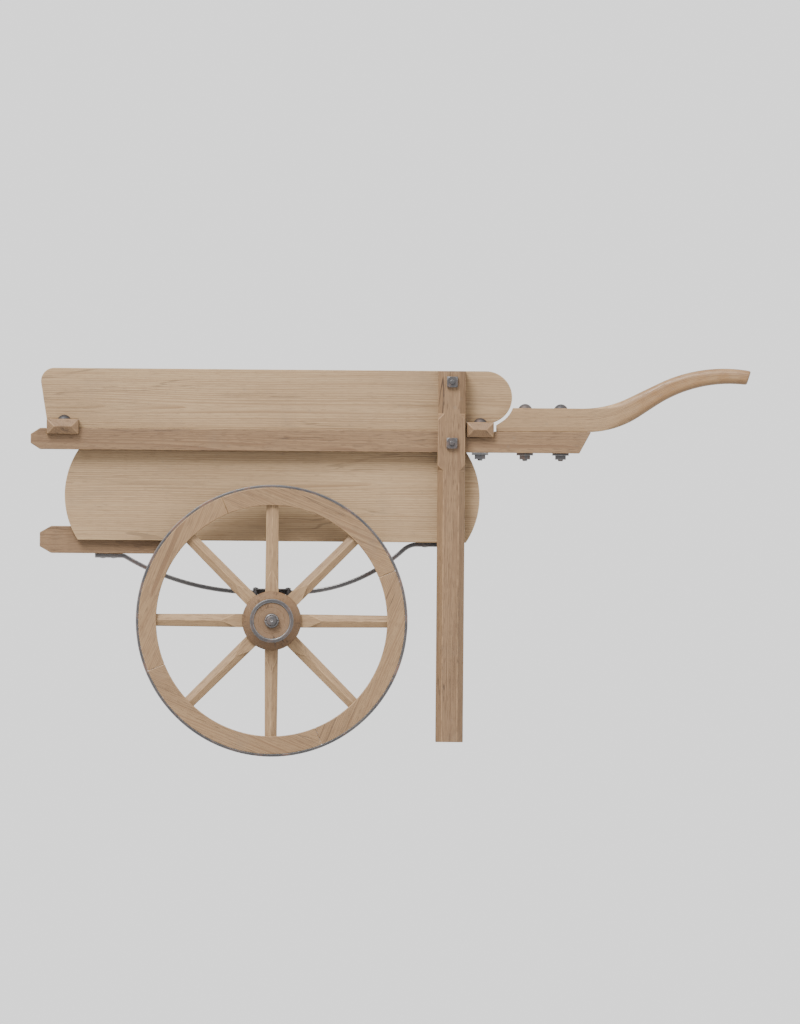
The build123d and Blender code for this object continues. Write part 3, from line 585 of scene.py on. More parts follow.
def years_of_use():
    """Paler rubbed arrises, small knocks and old marks over a timber."""
    tree, given, out = shared_effect(
        "years_of_use",
        [
            ("Where", "NodeSocketVector", None),
            ("Colour", "NodeSocketColor", (0.5, 0.4, 0.3, 1)),
            ("Roughness", "NodeSocketFloat", 0.6),
            ("Height", "NodeSocketFloat", 0.5),
            ("Arris", "NodeSocketFloat", 0.0),
            ("Rubbed", "NodeSocketColor", (0.62, 0.48, 0.33, 1)),
            ("Marked", "NodeSocketColor", (0.12, 0.09, 0.07, 1)),
            ("Age", "NodeSocketFloat", 0.5),
        ],
        [("Colour", "NodeSocketColor"), ("Roughness", "NodeSocketFloat"), ("Height", "NodeSocketFloat")],
    )
    if given is None:
        return tree
    where = given["Where"]
    rub = grade(tree, speckle(tree, where, (34, 34, 34), 3.0), 0.38, 0.62)
    rub = sums(tree, "MULTIPLY", rub, given["Arris"])
    rub = sums(tree, "MULTIPLY", rub, 0.75)
    stains = grade(tree, speckle(tree, where, (7, 7, 7), 5.0, 0.62, 0.4), 0.52, 0.78, 0.0, 0.42)
    stains = sums(tree, "MULTIPLY", stains, given["Age"])
    specks = grade(tree, speckle(tree, where, (130, 130, 130), 2.0), 0.66, 0.76, 0.0, 0.5)
    specks = sums(tree, "MULTIPLY", specks, given["Age"])
    knocks = grade(tree, dimples(tree, where, (23, 23, 23), 0.1), 0.0, 0.16, 1.0, 0.0)
    few = grade(tree, speckle(tree, where, (11, 11, 11), 0.0), 0.55, 0.6)
    knocks = sums(tree, "MULTIPLY", knocks, few)

    colour = blend_colours(tree, stains, given["Colour"], given["Marked"])
    colour = blend_colours(tree, specks, colour, given["Marked"])
    colour = blend_colours(tree, sums(tree, "MULTIPLY", knocks, 0.35), colour, given["Marked"])
    feed(tree, out["Colour"], blend_colours(tree, rub, colour, given["Rubbed"]))
    rough = sums(tree, "MULTIPLY_ADD", rub, -0.12, given["Roughness"])
    feed(tree, out["Roughness"], sums(tree, "MULTIPLY_ADD", stains, 0.25, rough))
    feed(tree, out["Height"], sums(tree, "MULTIPLY_ADD", knocks, -0.9, given["Height"]))
    return tree


def forged_scale():
    """Black iron with hammer marks, a bloom of rust and edges that have rubbed bright."""
    tree, given, out = shared_effect(
        "forged_scale",
        [
            ("Where", "NodeSocketVector", None),
            ("Scale", "NodeSocketColor", (0.05, 0.05, 0.055, 1)),
            ("Rust", "NodeSocketColor", (0.16, 0.065, 0.028, 1)),
            ("Bright", "NodeSocketColor", (0.42, 0.41, 0.4, 1)),
            ("Rusting", "NodeSocketFloat", 0.4),
            ("Rubbing", "NodeSocketFloat", 0.0),
            ("Hammering", "NodeSocketFloat", 0.5),
        ],
        [
            ("Colour", "NodeSocketColor"),
            ("Roughness", "NodeSocketFloat"),
            ("Metallic", "NodeSocketFloat"),
            ("Height", "NodeSocketFloat"),
        ],
    )
    if given is None:
        return tree
    where = given["Where"]
    cloud = speckle(tree, where, (26, 26, 26), 6.0, 0.65, 0.3)
    rust = grade(tree, cloud, 0.46, 0.72)
    rust = sums(tree, "MULTIPLY", rust, given["Rusting"])
    grit = speckle(tree, where, (700, 700, 700), 2.0)
    pitting = grade(tree, speckle(tree, where, (240, 240, 240), 1.0), 0.6, 0.74)
    hammer = dimples(tree, where, (62, 62, 62))
    broken = grade(tree, speckle(tree, where, (150, 150, 150), 4.0, 0.6), 0.2, 0.6, 0.25, 1.0)
    bright = sums(tree, "MULTIPLY", broken, given["Rubbing"])
    tone = grade(tree, speckle(tree, where, (14, 14, 14), 3.0), 0.3, 0.7, 0.0, 0.5)

    colour = blend_colours(tree, tone, given["Scale"], (0.105, 0.095, 0.09, 1))
    colour = blend_colours(tree, rust, colour, given["Rust"])
    colour = blend_colours(tree, sums(tree, "MULTIPLY", bright, 0.8), colour, given["Bright"])
    feed(tree, out["Colour"], colour)
    rough = sums(tree, "MULTIPLY_ADD", rust, 0.34, 0.44)
    rough = sums(tree, "MULTIPLY_ADD", grit, 0.12, rough)
    feed(tree, out["Roughness"], sums(tree, "MULTIPLY_ADD", bright, -0.16, rough))
    feed(tree, out["Metallic"], sums(tree, "MULTIPLY_ADD", rust, -0.75, 0.85))
    height = sums(tree, "MULTIPLY", hammer, given["Hammering"])
    height = sums(tree, "MULTIPLY_ADD", grit, 0.12, height)
    height = sums(tree, "MULTIPLY_ADD", rust, 0.2, height)
    feed(tree, out["Height"], sums(tree, "MULTIPLY_ADD", pitting, -0.14, height))
    return tree


def place_group(tree, group, **settings):
    node = tree.nodes.new("ShaderNodeGroup")
    node.node_tree = group
    for label, value in settings.items():
        feed(tree, node.inputs[label.replace("_", " ")], value)
    return node.outputs


def new_finish(name):
    """A material with a bare shader, its coordinates and its arris mask."""
    finish = bpy.data.materials.new(name)
    finish.use_nodes = True
    tree = finish.node_tree
    shader = next(node for node in tree.nodes if node.type == "BSDF_PRINCIPLED")
    where = tree.nodes.new("ShaderNodeTexCoord").outputs["Object"]
    arris = tree.nodes.new("ShaderNodeAttribute")
    arris.attribute_name = "arris"
    return finish, tree, shader, where, arris.outputs["Fac"]


def raise_grain(tree, shader, height, strength, depth):
    bump = tree.nodes.new("ShaderNodeBump")
    bump.inputs["Strength"].default_value = strength
    bump.inputs["Distance"].default_value = depth
    feed(tree, bump.inputs["Height"], height)
    feed(tree, shader.inputs["Normal"], bump.outputs[0])


def timber_finish(name, early, gap, wander, pores, checks, age, hands=None):
    """Sawn timber. hands is the reach in X over which handling has darkened and polished it."""
    if name in bpy.data.materials:
        return bpy.data.materials[name]
    colours = bpy.context.scene.hand_cart_timber
    early = Vector(early)
    late = Vector(pale * share for pale, share in zip(early, colours.late_share))
    finish, tree, shader, where, arris = new_finish(name)
    log_place = tree.nodes.new("ShaderNodeAttribute")
    log_place.attribute_name = "log_place"
    grain = place_group(
        tree,
        sawn_grain(),
        Log_Place=log_place.outputs["Vector"],
        Early_Wood=(*early, 1),
        Late_Wood=(*late, 1),
        Ring_Gap=gap,
        Wander=wander,
        Pores=pores,
        Checks=checks,
    )
    used = place_group(
        tree,
        years_of_use(),
        Where=where,
        Colour=grain["Colour"],
        Roughness=grain["Roughness"],
        Height=grain["Height"],
        Arris=arris,
        Rubbed=(*[min(1.0, pale * 1.22) for pale in early], 1),
        Marked=(*colours.marks, 1),
        Age=age,
    )
    colour = used["Colour"]
    roughness = used["Roughness"]
    if hands is not None:
        split = tree.nodes.new("ShaderNodeSeparateXYZ")
        feed(tree, split.inputs[0], where)
        handled = grade(tree, split.outputs[0], hands[0], hands[1])
        blotch = grade(tree, speckle(tree, where, (30, 45, 45), 3.0), 0.25, 0.65, 0.55, 1.0)
        handled = sums(tree, "MULTIPLY", handled, blotch)
        deep = blend_colours(tree, 1.0, colour, (0.80, 0.69, 0.55, 1), "MULTIPLY")
        colour = blend_colours(tree, handled, colour, deep)
        roughness = sums(tree, "MULTIPLY_ADD", handled, -0.24, roughness)
    feed(tree, shader.inputs["Base Color"], colour)
    feed(tree, shader.inputs["Roughness"], roughness)
    raise_grain(tree, shader, used["Height"], 0.55, 0.0006)
    shader.inputs["IOR"].default_value = 1.48
    return finish


def iron_finish(name, rusting, hammering, bright_edges=0.7, tread=None, depth=0.0005):
    """Black iron. tread is the radius from which rolling keeps it bright."""
    if name in bpy.data.materials:
        return bpy.data.materials[name]
    colours = bpy.context.scene.hand_cart_iron
    finish, tree, shader, where, arris = new_finish(name)
    rubbing = sums(tree, "MULTIPLY", arris, bright_edges)
    if tread is not None:
        split = tree.nodes.new("ShaderNodeSeparateXYZ")
        feed(tree, split.inputs[0], where)
        x = sums(tree, "SUBTRACT", split.outputs[0], AXLE_X)
        z = sums(tree, "SUBTRACT", split.outputs[2], AXLE_Z)
        x_squared = sums(tree, "MULTIPLY", x, x)
        z_squared = sums(tree, "MULTIPLY", z, z)
        radius = sums(tree, "SQRT", sums(tree, "ADD", x_squared, z_squared))
        rolled = grade(tree, radius, tread - 0.0009, tread - 0.0002, 0.0, 0.5)
        rubbing = sums(tree, "MAXIMUM", rubbing, rolled)
    scale = place_group(
        tree,
        forged_scale(),
        Where=where,
        Scale=(*colours.scale, 1),
        Rust=(*colours.rust, 1),
        Bright=(*colours.bright, 1),
        Rusting=rusting,
        Rubbing=rubbing,
        Hammering=hammering,
    )
    feed(tree, shader.inputs["Base Color"], scale["Colour"])
    feed(tree, shader.inputs["Roughness"], scale["Roughness"])
    feed(tree, shader.inputs["Metallic"], scale["Metallic"])
    raise_grain(tree, shader, scale["Height"], 0.6, depth)
    return finish


def timbers():
    return bpy.context.scene.hand_cart_timber


FINISHES = {
    "frame_timber": lambda: timber_finish(
        "sawn_frame_timber",
        timbers().frame,
        gap=0.0042,
        wander=0.012,
        pores=0.7,
        checks=0.8,
        age=0.55,
    ),
    "handle_timber": lambda: timber_finish(
        "shaved_handle_timber",
        timbers().handle,
        gap=0.0034,
        wander=0.007,
        pores=0.5,
        checks=0.15,
        age=0.5,
        hands=(HANDLE[0].x + 0.25, HANDLE[0].x + 0.40),
    ),
    "board_timber": lambda: timber_finish(
        "planed_board_timber",
        timbers().board,
        gap=0.0052,
        wander=0.020,
        pores=0.35,
        checks=0.35,
        age=0.6,
    ),
    "floor_timber": lambda: timber_finish(
        "sawn_floor_timber",
        timbers().floor,
        gap=0.0060,
        wander=0.016,
        pores=0.2,
        checks=0.6,
        age=0.9,
    ),
    "wheel_timber": lambda: timber_finish(
        "sawn_felloe_timber",
        timbers().wheel,
        gap=0.0036,
        wander=0.008,
        pores=0.6,
        checks=0.5,
        age=0.7,
    ),
    "nave_timber": lambda: timber_finish(
        "turned_nave_timber",
        timbers().nave,
        gap=0.0040,
        wander=0.005,
        pores=0.6,
        checks=1.0,
        age=0.7,
    ),
    "spoke_timber": lambda: timber_finish(
        "cleft_spoke_timber",
        timbers().spoke,
        gap=0.0032,
        wander=0.005,
        pores=0.7,
        checks=0.2,
        age=0.55,
    ),
    "tyre_iron": lambda: iron_finish("rolled_tyre_iron", 0.75, 0.25, 0.8, tread=WHEEL_R),
    "forged_iron": lambda: iron_finish("hammered_black_iron", 0.5, 0.7),
    "cast_box_iron": lambda: iron_finish("sand_cast_iron", 0.55, 0.1, 0.4),
    "spring_steel": lambda: iron_finish("drawn_spring_steel", 0.35, 0.3, 0.7),
}


# ---------------------------------------------------------------- what a user may change
def colour_setting(name, description, default):
    return bpy.props.FloatVectorProperty(
        name=name, description=description, default=default, subtype="COLOR", size=3, min=0, max=1
    )


class CartSizes(bpy.types.PropertyGroup):
    """Sizes of the hand finishing."""

    timber_arris: bpy.props.FloatProperty(
        name="Timber arris",
        description="How far the edges of the timbers are eased",
        default=0.0018,
        min=0.0003,
        max=0.004,
        unit="LENGTH",
    )
    board_arris: bpy.props.FloatProperty(
        name="Board arris",
        description="How far the edges of the thin boards are eased",
        default=0.0013,
        min=0.0003,
        max=0.004,
        unit="LENGTH",
    )
    iron_edge: bpy.props.FloatProperty(
        name="Iron edge",
        description="How far the edges of the ironwork are eased",
        default=0.0008,
        min=0.0002,
        max=0.002,
        unit="LENGTH",
    )
    grip_round: bpy.props.FloatProperty(
        name="Grip rounding",
        description="Radius of the corners of the grips",
        default=0.0145,
        min=0.004,
        max=0.016,
        unit="LENGTH",
    )
    leg_chamfer: bpy.props.FloatProperty(
        name="Leg chamfer",
        description="Width taken off each face at the outer corners of the legs",
        default=0.015,
        min=0.004,
        max=0.02,
        unit="LENGTH",
    )


class CartTimber(bpy.types.PropertyGroup):
    """Colours of the timbers, each the pale wood of a year's growth."""

    frame: colour_setting("Frame", "Rails, bearers, cross-members and legs", (0.175, 0.104, 0.050))
    handle: colour_setting("Handles", "The two handles", (0.265, 0.172, 0.088))
    board: colour_setting("Boards", "Sides, panels and ends of the well", (0.300, 0.203, 0.108))
    floor: colour_setting("Floor", "Planks of the well floor", (0.215, 0.152, 0.092))
    wheel: colour_setting("Felloes", "Felloes of the wheels", (0.210, 0.129, 0.062))
    nave: colour_setting("Naves", "Turned naves", (0.150, 0.088, 0.043))
    spoke: colour_setting("Spokes", "Cleft spokes", (0.255, 0.164, 0.083))
    late_share: bpy.props.FloatVectorProperty(
        name="Late wood share",
        description="How much of each primary colour is left in the dark wood of a year's growth",
        default=(0.56, 0.46, 0.37),
        size=3,
        min=0,
        max=1,
    )
    marks: colour_setting("Marks", "Old stains and knocks", (0.13, 0.095, 0.065))


class CartIron(bpy.types.PropertyGroup):
    """Colours of the ironwork."""

    scale: colour_setting("Scale", "Black iron as it left the forge", (0.058, 0.057, 0.06))
    rust: colour_setting("Rust", "Bloom of rust", (0.15, 0.066, 0.032))
    bright: colour_setting("Bright iron", "Iron that rubbing keeps bright", (0.40, 0.39, 0.38))


class CartStage(bpy.types.PropertyGroup):
    """Room and light."""

    room: bpy.props.FloatProperty(
        name="Room light", description="Brightness of the pale room", default=1.5, min=0, max=4
    )
    key: bpy.props.FloatProperty(
        name="Key light", description="Strength of the large soft light", default=6.5, min=0, max=20
    )
    side: bpy.props.FloatProperty(
        name="Side light", description="Strength of the second soft light", default=1.0, min=0, max=20
    )
    camera_away: bpy.props.FloatProperty(
        name="Camera distance", description="How far off the camera stands", default=12.0, unit="LENGTH"
    )
    frame_tall: bpy.props.FloatProperty(
        name="Frame height", description="Height of the view at the cart", default=2.582, unit="LENGTH"
    )
    roll: bpy.props.FloatProperty(
        name="Camera roll",
        description="Lean of the camera about its line of sight",
        default=radians(0.47),
        unit="ROTATION",
    )


# ---------------------------------------------------------------- frame timbers
class HANDCART_OT_rails(bpy.types.Operator):
    """Two main rails with chamfered noses, slanted tails and housings for the cross-members"""

    bl_idname = "handcart.rails"
    bl_label = "Rails"

    def execute(self, context):
        low, high = RAIL
        housing_z = FRONT_CROSS[0].z
        nose_run = 24 * MM
        nose_rise = 15.5 * MM
        slant = 29 * MM
        outline = [
            (low.x + nose_run, low.z),
            (low.x, low.z + nose_rise),
            (low.x, high.z - nose_rise),
            (low.x + nose_run, high.z),
        ]
        for cross in (FRONT_CROSS, REAR_CROSS):
            start_x, end_x = cross[0].x, cross[1].x
            outline += [(start_x, high.z), (start_x, housing_z), (end_x, housing_z), (end_x, high.z)]
        outline += [(high.x, high.z), (high.x - slant, low.z)]
        pair = pair_of(sawn_board("rail", outline, low.y, high.y), "rail_timber")
        for side, start in zip(SIDES, (0.3, 2.1)):
            nodes = [f"{side}_rail"]
            timber(pair[side], "cart_body", "frame_timber", nodes, ALONG, ACROSS, (0.07, 0.025), start)
        return {"FINISHED"}


class HANDCART_OT_cross_members(bpy.types.Operator):
    """Two bars across the rails with hipped ends"""

    bl_idname = "handcart.cross_members"
    bl_label = "Cross-members"

    def execute(self, context):
        hip = 12 * MM
        members = (("front_cross_member", FRONT_CROSS, 4.2), ("rear_cross_member", REAR_CROSS, 5.9))
        for node, box, start in members:
            low, high = box
            half_tall = (high.z - low.z) / 2
            middle = middle_of(box)
            bar = block(node + "_timber", low, high)
            for end in (-1, 1):
                shoulder = end * (high.y - hip)
                for up in (-1, 1):
                    edge = (middle.x, shoulder, middle.z + up * half_tall)
                    saw_off(bar, edge, (0, end * half_tall, up * hip))
                for face in (-1, 1):
                    edge_x = high.x if face > 0 else low.x
                    saw_off(bar, (edge_x, shoulder, middle.z), (face * hip, end * half_tall, 0))
            timber(bar, "cart_body", "frame_timber", [node], ACROSS, ALONG, (0.055, 0.02), start)
        return {"FINISHED"}


class HANDCART_OT_bearers(bpy.types.Operator):
    """Two lower beams with chamfered noses, stepped up behind the front spring feet"""

    bl_idname = "handcart.bearers"
    bl_label = "Bearers"

    def execute(self, context):
        low, high = BEARER
        nose_run = 29 * MM
        nose_rise = 16.5 * MM
        step = (WELL_FRONT_X + 268.5 * MM, WELL_FRONT_X + 199.5 * MM)
        outline = [
            (low.x + nose_run, low.z),
            (low.x, low.z + nose_rise),
            (low.x, high.z - nose_rise),
            (low.x + nose_run, high.z),
            (high.x, high.z),
            (high.x, STEPPED_BOTTOM),
            (step[0], STEPPED_BOTTOM),
            (step[1], low.z),
        ]
        pair = pair_of(sawn_board("bearer", outline, low.y, high.y), "bearer_timber")
        for side, start in zip(SIDES, (7.7, 9.4)):
            nodes = [f"{side}_bearer"]
            timber(pair[side], "cart_body", "frame_timber", nodes, ALONG, ACROSS, (0.06, -0.03), start)
        return {"FINISHED"}


class HANDCART_OT_legs(bpy.types.Operator):
    """Two legs notched over the rails, with stopped chamfers down their outer corners"""

    bl_idname = "handcart.legs"
    bl_label = "Legs"

    def execute(self, context):
        chamfer = context.scene.hand_cart_sizes.leg_chamfer
        low, high = LEG
        stop_long = 36 * MM
        band_low = RAIL[0].z - 10 * MM
        band_high = band_low + 71 * MM
        side_outline = [
            (low.y, low.z),
            (low.y, RAIL[0].z),
            (RAIL[1].y, RAIL[0].z),
            (RAIL[1].y, RAIL[1].z),
            (low.y, RAIL[1].z),
            (low.y, high.z),
            (high.y, high.z),
            (high.y, low.z),
        ]
        leg = sawn_board("leg", side_outline, low.x, high.x)
        leg.data.transform(Matrix(((0, 1, 0, 0), (1, 0, 0, 0), (0, 0, 1, 0), (0, 0, 0, 1))))
        close_up(leg)
        stops = ((band_low - stop_long, band_low), (band_high + stop_long, band_high))
        for start_z, end_z in stops:
            mark_round(leg, (0, 0, start_z), UP)

        def outer_corner(point):
            return abs(point.y - high.y) < 1e-6 and min(abs(point.x - low.x), abs(point.x - high.x)) < 1e-6

        def chamfered(edge):
            ends = [corner.co for corner in edge.verts]
            if not all(outer_corner(end) for end in ends) or abs(ends[0].x - ends[1].x) > 1e-6:
                return False
            middle = (ends[0].z + ends[1].z) / 2
            return middle < stops[0][0] or middle > stops[1][0]

        open_up(leg)
        if pick(leg, "EDGE", chamfered) != 4:
            raise RuntimeError("the leg should have four lengths of chamfer")
        bpy.ops.mesh.bevel(
            offset_type="OFFSET", offset=chamfer, segments=1, affect="EDGES", clamp_overlap=False
        )
        for start_z, end_z in stops:
            pick(leg, "VERT", lambda corner: outer_corner(corner.co) and abs(corner.co.z - start_z) < 1e-6)
            bpy.ops.transform.translate(value=(0, 0, end_z - start_z))
        pair = pair_of(close_up(leg), "leg_timber")
        for side, start in zip(SIDES, (11.2, 12.8)):
            timber(pair[side], "cart_body", "frame_timber", [f"{side}_leg"], UP, ACROSS, (0.05, 0.012), start)
        return {"FINISHED"}


# ---------------------------------------------------------------- boards
class HANDCART_OT_side_boards(bpy.types.Operator):
    """Side boards with a rounded front corner and a round tail"""

    bl_idname = "handcart.side_boards"
    bl_label = "Side boards"

    def execute(self, context):
        low, high = BOARD
        foot = (FRONT_CROSS[0].x, FRONT_CROSS[1].z)
        top_z = high.z
        lean_run = -20.5 * MM
        corner_r = 33 * MM
        tail_r = 66 * MM
        lean = atan2(lean_run, top_z - foot[1])
        back = corner_r * (1 + sin(-lean)) / cos(lean)
        edge_top = (foot[0] + lean_run - back * sin(lean), top_z - back * cos(lean))
        corner = (edge_top[0] + corner_r * cos(lean), edge_top[1] - corner_r * sin(lean))
        tail = (high.x - tail_r, top_z - tail_r)
        drop = tail[1] - foot[1]
        tail_end = -degrees_of(sqrt(tail_r**2 - drop**2), drop)
        outline = [foot]
        outline += arc(corner, corner_r, 180 - degrees_of(cos(lean), sin(lean)), 90, 12)
        outline += arc(tail, tail_r, 90, tail_end, 30)
        outline += [(WELL_REAR_X, foot[1]), (WELL_REAR_X, low.z)]
        outline += [(WELL_FRONT_X, low.z), (WELL_FRONT_X, foot[1])]
        board = sawn_board("side_board", outline, low.y, high.y)
        pair = pair_of(board, "side_board_timber")
        width = context.scene.hand_cart_sizes.board_arris
        for side, start in zip(SIDES, (14.1, 16.3)):
            nodes = [f"{side}_side_board"]
            timber(pair[side], "cart_body", "board_timber", nodes, ALONG, ACROSS, (0.028, 0.02), start, width)
        return {"FINISHED"}


class HANDCART_OT_lower_panels(bpy.types.Operator):
    """Lower panels with bowed ends"""

    bl_idname = "handcart.lower_panels"
    bl_label = "Lower panels"

    def execute(self, context):
        low, high = PANEL
        half_tall = (high.z - low.z) / 2
        bow = WELL_FRONT_X - low.x
        radius = (half_tall**2 + bow**2) / (2 * bow)
        spread = degrees_of(radius - bow, half_tall)
        middle_z = low.z + half_tall
        outline = arc((low.x + radius, middle_z), radius, 180 + spread, 180 - spread, 24)
        outline += arc((high.x - radius, middle_z), radius, spread, -spread, 24)
        pair = pair_of(sawn_board("lower_panel", outline, low.y, high.y), "lower_panel_timber")
        width = context.scene.hand_cart_sizes.board_arris
        for side, start in zip(SIDES, (18.4, 20.9)):
            nodes = [f"{side}_lower_panel"]
            pith = (0.022, -0.03)
            timber(pair[side], "cart_body", "board_timber", nodes, ALONG, ACROSS, pith, start, width)
        return {"FINISHED"}


class HANDCART_OT_well(bpy.types.Operator):
    """Floor planks, corner posts, end boards, headboard and tailboard"""

    bl_idname = "handcart.well"
    bl_label = "Well"

    def execute(self, context):
        width = context.scene.hand_cart_sizes.board_arris
        low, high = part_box("floor_planks")
        count = 7
        gap = 2 * MM
        pitch = (high.x - low.x + gap) / count
        planks = []
        for number in range(count):
            start_x = low.x + pitch * number
            plank = block(f"plank_{number}", (start_x, low.y, low.z), (start_x + pitch - gap, high.y, high.z))
            ease_edges(plank, width)
            pith = (0.018 + 0.006 * (number % 3), 0.02 - 0.013 * (number % 4))
            lay_grain(plank, ACROSS, UP, pith, 30 + 1.7 * number)
            planks.append(smooth_over(plank))
        hand_over(joined(planks, "floor_planks_timber"), "cart_body", "floor_timber", "floor_planks")

        low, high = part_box("corner_posts")
        size = 40 * MM
        posts = []
        for number, (x, y) in enumerate(
            ((low.x, low.y), (high.x - size, low.y), (low.x, high.y - size), (high.x - size, high.y - size))
        ):
            post = block(f"post_{number}", (x, y, low.z), (x + size, y + size, high.z))
            ease_edges(post, width)
            lay_grain(post, UP, ALONG, (0.04, 0.03), 50 + 1.3 * number)
            posts.append(smooth_over(post))
        hand_over(joined(posts, "corner_posts_timber"), "cart_body", "frame_timber", "corner_posts")

        for number, node in enumerate(("front_end_board", "rear_end_board", "tailboard")):
            low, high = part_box(node)
            board = block(node + "_timber", low, high)
            start = 60 + 2.3 * number
            timber(board, "cart_body", "board_timber", [node], ACROSS, ALONG, (0.024, 0.03), start, width)

        low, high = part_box("headboard")
        thick = 20 * MM
        outline = [(high.x - thick, low.z), (high.x, low.z), (low.x + thick, high.z), (low.x, high.z)]
        board = sawn_board("headboard_timber", outline, low.y, high.y)
        timber(board, "cart_body", "board_timber", ["headboard"], ACROSS, ALONG, (0.026, 0.02), 70, width)
        return {"FINISHED"}


# ---------------------------------------------------------------- handles
CLIMB_TOP = {"start": 217.0, "climb_r": 260.0, "climb": 26.2, "run": 86.5, "over_r": 376.0, "droop": 10.2}
CLIMB_LOW = {"start": 228.5, "climb_r": 238.0, "climb": 33.6, "run": 51.5, "over_r": 337.5, "droop": 7.0}


def handle_line(foot_x, start_x, z, edge, shares):
    """Places along one edge of a handle; shares are (part, share of it) in step with the other edge."""
    climb = radians(edge["climb"])
    droop = radians(edge["droop"])
    flat_end = foot_x + edge["start"] * MM
    climb_r = edge["climb_r"] * MM
    over_r = edge["over_r"] * MM
    run = edge["run"] * MM
    climb_end = (flat_end + climb_r * sin(climb), z + climb_r * (1 - cos(climb)))
    run_end = (climb_end[0] + run * cos(climb), climb_end[1] + run * sin(climb))
    places = []
    for part, share in shares:
        if part == 0:
            place = (start_x + (flat_end - start_x) * share, z)
        elif part == 1:
            turn = climb * share
            place = (flat_end + climb_r * sin(turn), z + climb_r * (1 - cos(turn)))
        elif part == 2:
            place = (climb_end[0] + run * share * cos(climb), climb_end[1] + run * share * sin(climb))
        else:
            turn = climb - (climb + droop) * share
            place = (
                run_end[0] + over_r * (sin(climb) - sin(turn)),
                run_end[1] + over_r * (cos(turn) - cos(climb)),
            )
        places.append(place)
    return places


class HANDCART_OT_handles(bpy.types.Operator):
    """Two handles, coped round the side boards' tails and swept up to rounded grips"""

    bl_idname = "handcart.handles"
    bl_label = "Handles"

    def execute(self, context):
        grip_round = context.scene.hand_cart_sizes.grip_round
        square_round = context.scene.hand_cart_sizes.timber_arris
        low, high = HANDLE
        foot_x = low.x
        middle_y = (low.y + high.y) / 2
        half_wide = (high.y - low.y) / 2
        bottom = RAIL[1].z
        top = bottom + 59.5 * MM
        cope_r = 73 * MM
        tail = (BOARD[1].x - 66 * MM, BOARD[1].z - 66 * MM)

        def cope_x(z):
            reach = cope_r**2 - (tail[1] - z) ** 2
            return max(foot_x, tail[0] + sqrt(max(reach, 0)))

        shares = [(0, step / 8) for step in range(9)]
        shares += [(1, step / 10) for step in range(1, 11)]
        shares += [(2, step / 4) for step in range(1, 5)]
        shares += [(3, step / 16) for step in range(1, 17)]
        tops = handle_line(foot_x, cope_x(top), top, CLIMB_TOP, shares)
        lows = handle_line(foot_x, foot_x, bottom, CLIMB_LOW, shares)

        def section(low_place, top_place, corner, shrink=0.0, coped=False):
            """One ring round the handle: a rectangle with rounded corners and points up its sides."""
            deep = sqrt((top_place[0] - low_place[0]) ** 2 + (top_place[1] - low_place[1]) ** 2)
            tall = deep / 2 - shrink
            wide = half_wide - shrink
            corner = min(corner, tall * 0.98, wide * 0.98)
            points = []
            for quarter in range(4):
                centre_y = (wide - corner) * (1 if quarter in (0, 1) else -1)
                centre_t = (tall - corner) * (1 if quarter in (1, 2) else -1)
                for step in range(6):
                    angle = -pi / 2 + (quarter + step / 5) * pi / 2
                    points.append((centre_y + corner * cos(angle), centre_t + corner * sin(angle)))
                if quarter in (0, 2):
                    going = 1 if quarter == 0 else -1
                    for step in range(1, 8):
                        points.append((wide * going, going * (tall - corner) * (2 * step / 8 - 1)))
            ring = []
            for across, up in points:
                share = 0.5 + up / deep
                x = low_place[0] + (top_place[0] - low_place[0]) * share
                z = low_place[1] + (top_place[1] - low_place[1]) * share
                if coped:
                    x = cope_x(z)
                ring.append(Vector((x, middle_y + across, z)))
            return ring

        grip_from = foot_x + 240 * MM
        grip_full = foot_x + 330 * MM
        rings = []
        for number, (low_place, top_place) in enumerate(zip(lows, tops)):
            x = (low_place[0] + top_place[0]) / 2
            share = min(max((x - grip_from) / (grip_full - grip_from), 0), 1)
            share = share * share * (3 - 2 * share)
            corner = square_round + (grip_round - square_round) * share
            rings.append(section(low_place, top_place, corner, coped=number == 0))
        end_round = 5 * MM
        low_end, top_end = lows[-1], tops[-1]
        droop = radians((CLIMB_TOP["droop"] + CLIMB_LOW["droop"]) / 2)
        heading = Vector((cos(droop), 0, -sin(droop)))
        rings[-1] = [place - heading * end_round for place in rings[-1]]
        for step in range(1, 5):
            angle = step / 4 * pi / 2
            shrink = end_round * (1 - cos(angle))
            forward = heading * end_round * (sin(angle) - 1)
            rings.append([place + forward for place in section(low_end, top_end, grip_round, shrink)])
        handle = drawn_out("handle", rings, flat_start=False)
        pair = pair_of(handle, "handle_timber_piece")

        def follow(place):
            """The grain runs with the sweep of the handle."""
            for (low_place, top_place), (next_low, next_top) in zip(zip(lows, tops), zip(lows[1:], tops[1:])):
                x = (low_place[0] + top_place[0]) / 2
                next_x = (next_low[0] + next_top[0]) / 2
                if place.x <= next_x:
                    break
            share = min(max((place.x - x) / (next_x - x), 0), 1)
            z = (low_place[1] + top_place[1]) / 2
            next_z = (next_low[1] + next_top[1]) / 2
            return Vector((0, 0, z + (next_z - z) * share - bottom))

        for side, start in zip(SIDES, (80.0, 83.1)):
            piece = pair[side]
            take(piece)
            arris = piece.data.attributes.new("arris", "FLOAT", "FACE")
            worn = []
            for face in piece.data.polygons:
                corner_face = 0.2 < abs(face.normal.y) < 0.97 and face.center.x < grip_full
                worn.append(1.0 if corner_face else 0.0)
            arris.data.foreach_set("value", worn)
            lay_grain(piece, ALONG, ACROSS, (0.045, 0.01), start, lean=0.004, follow=follow)
            smooth_over(piece, 30)
            hand_over(piece, "cart_body", "handle_timber", f"{side}_handle")
        return {"FINISHED"}


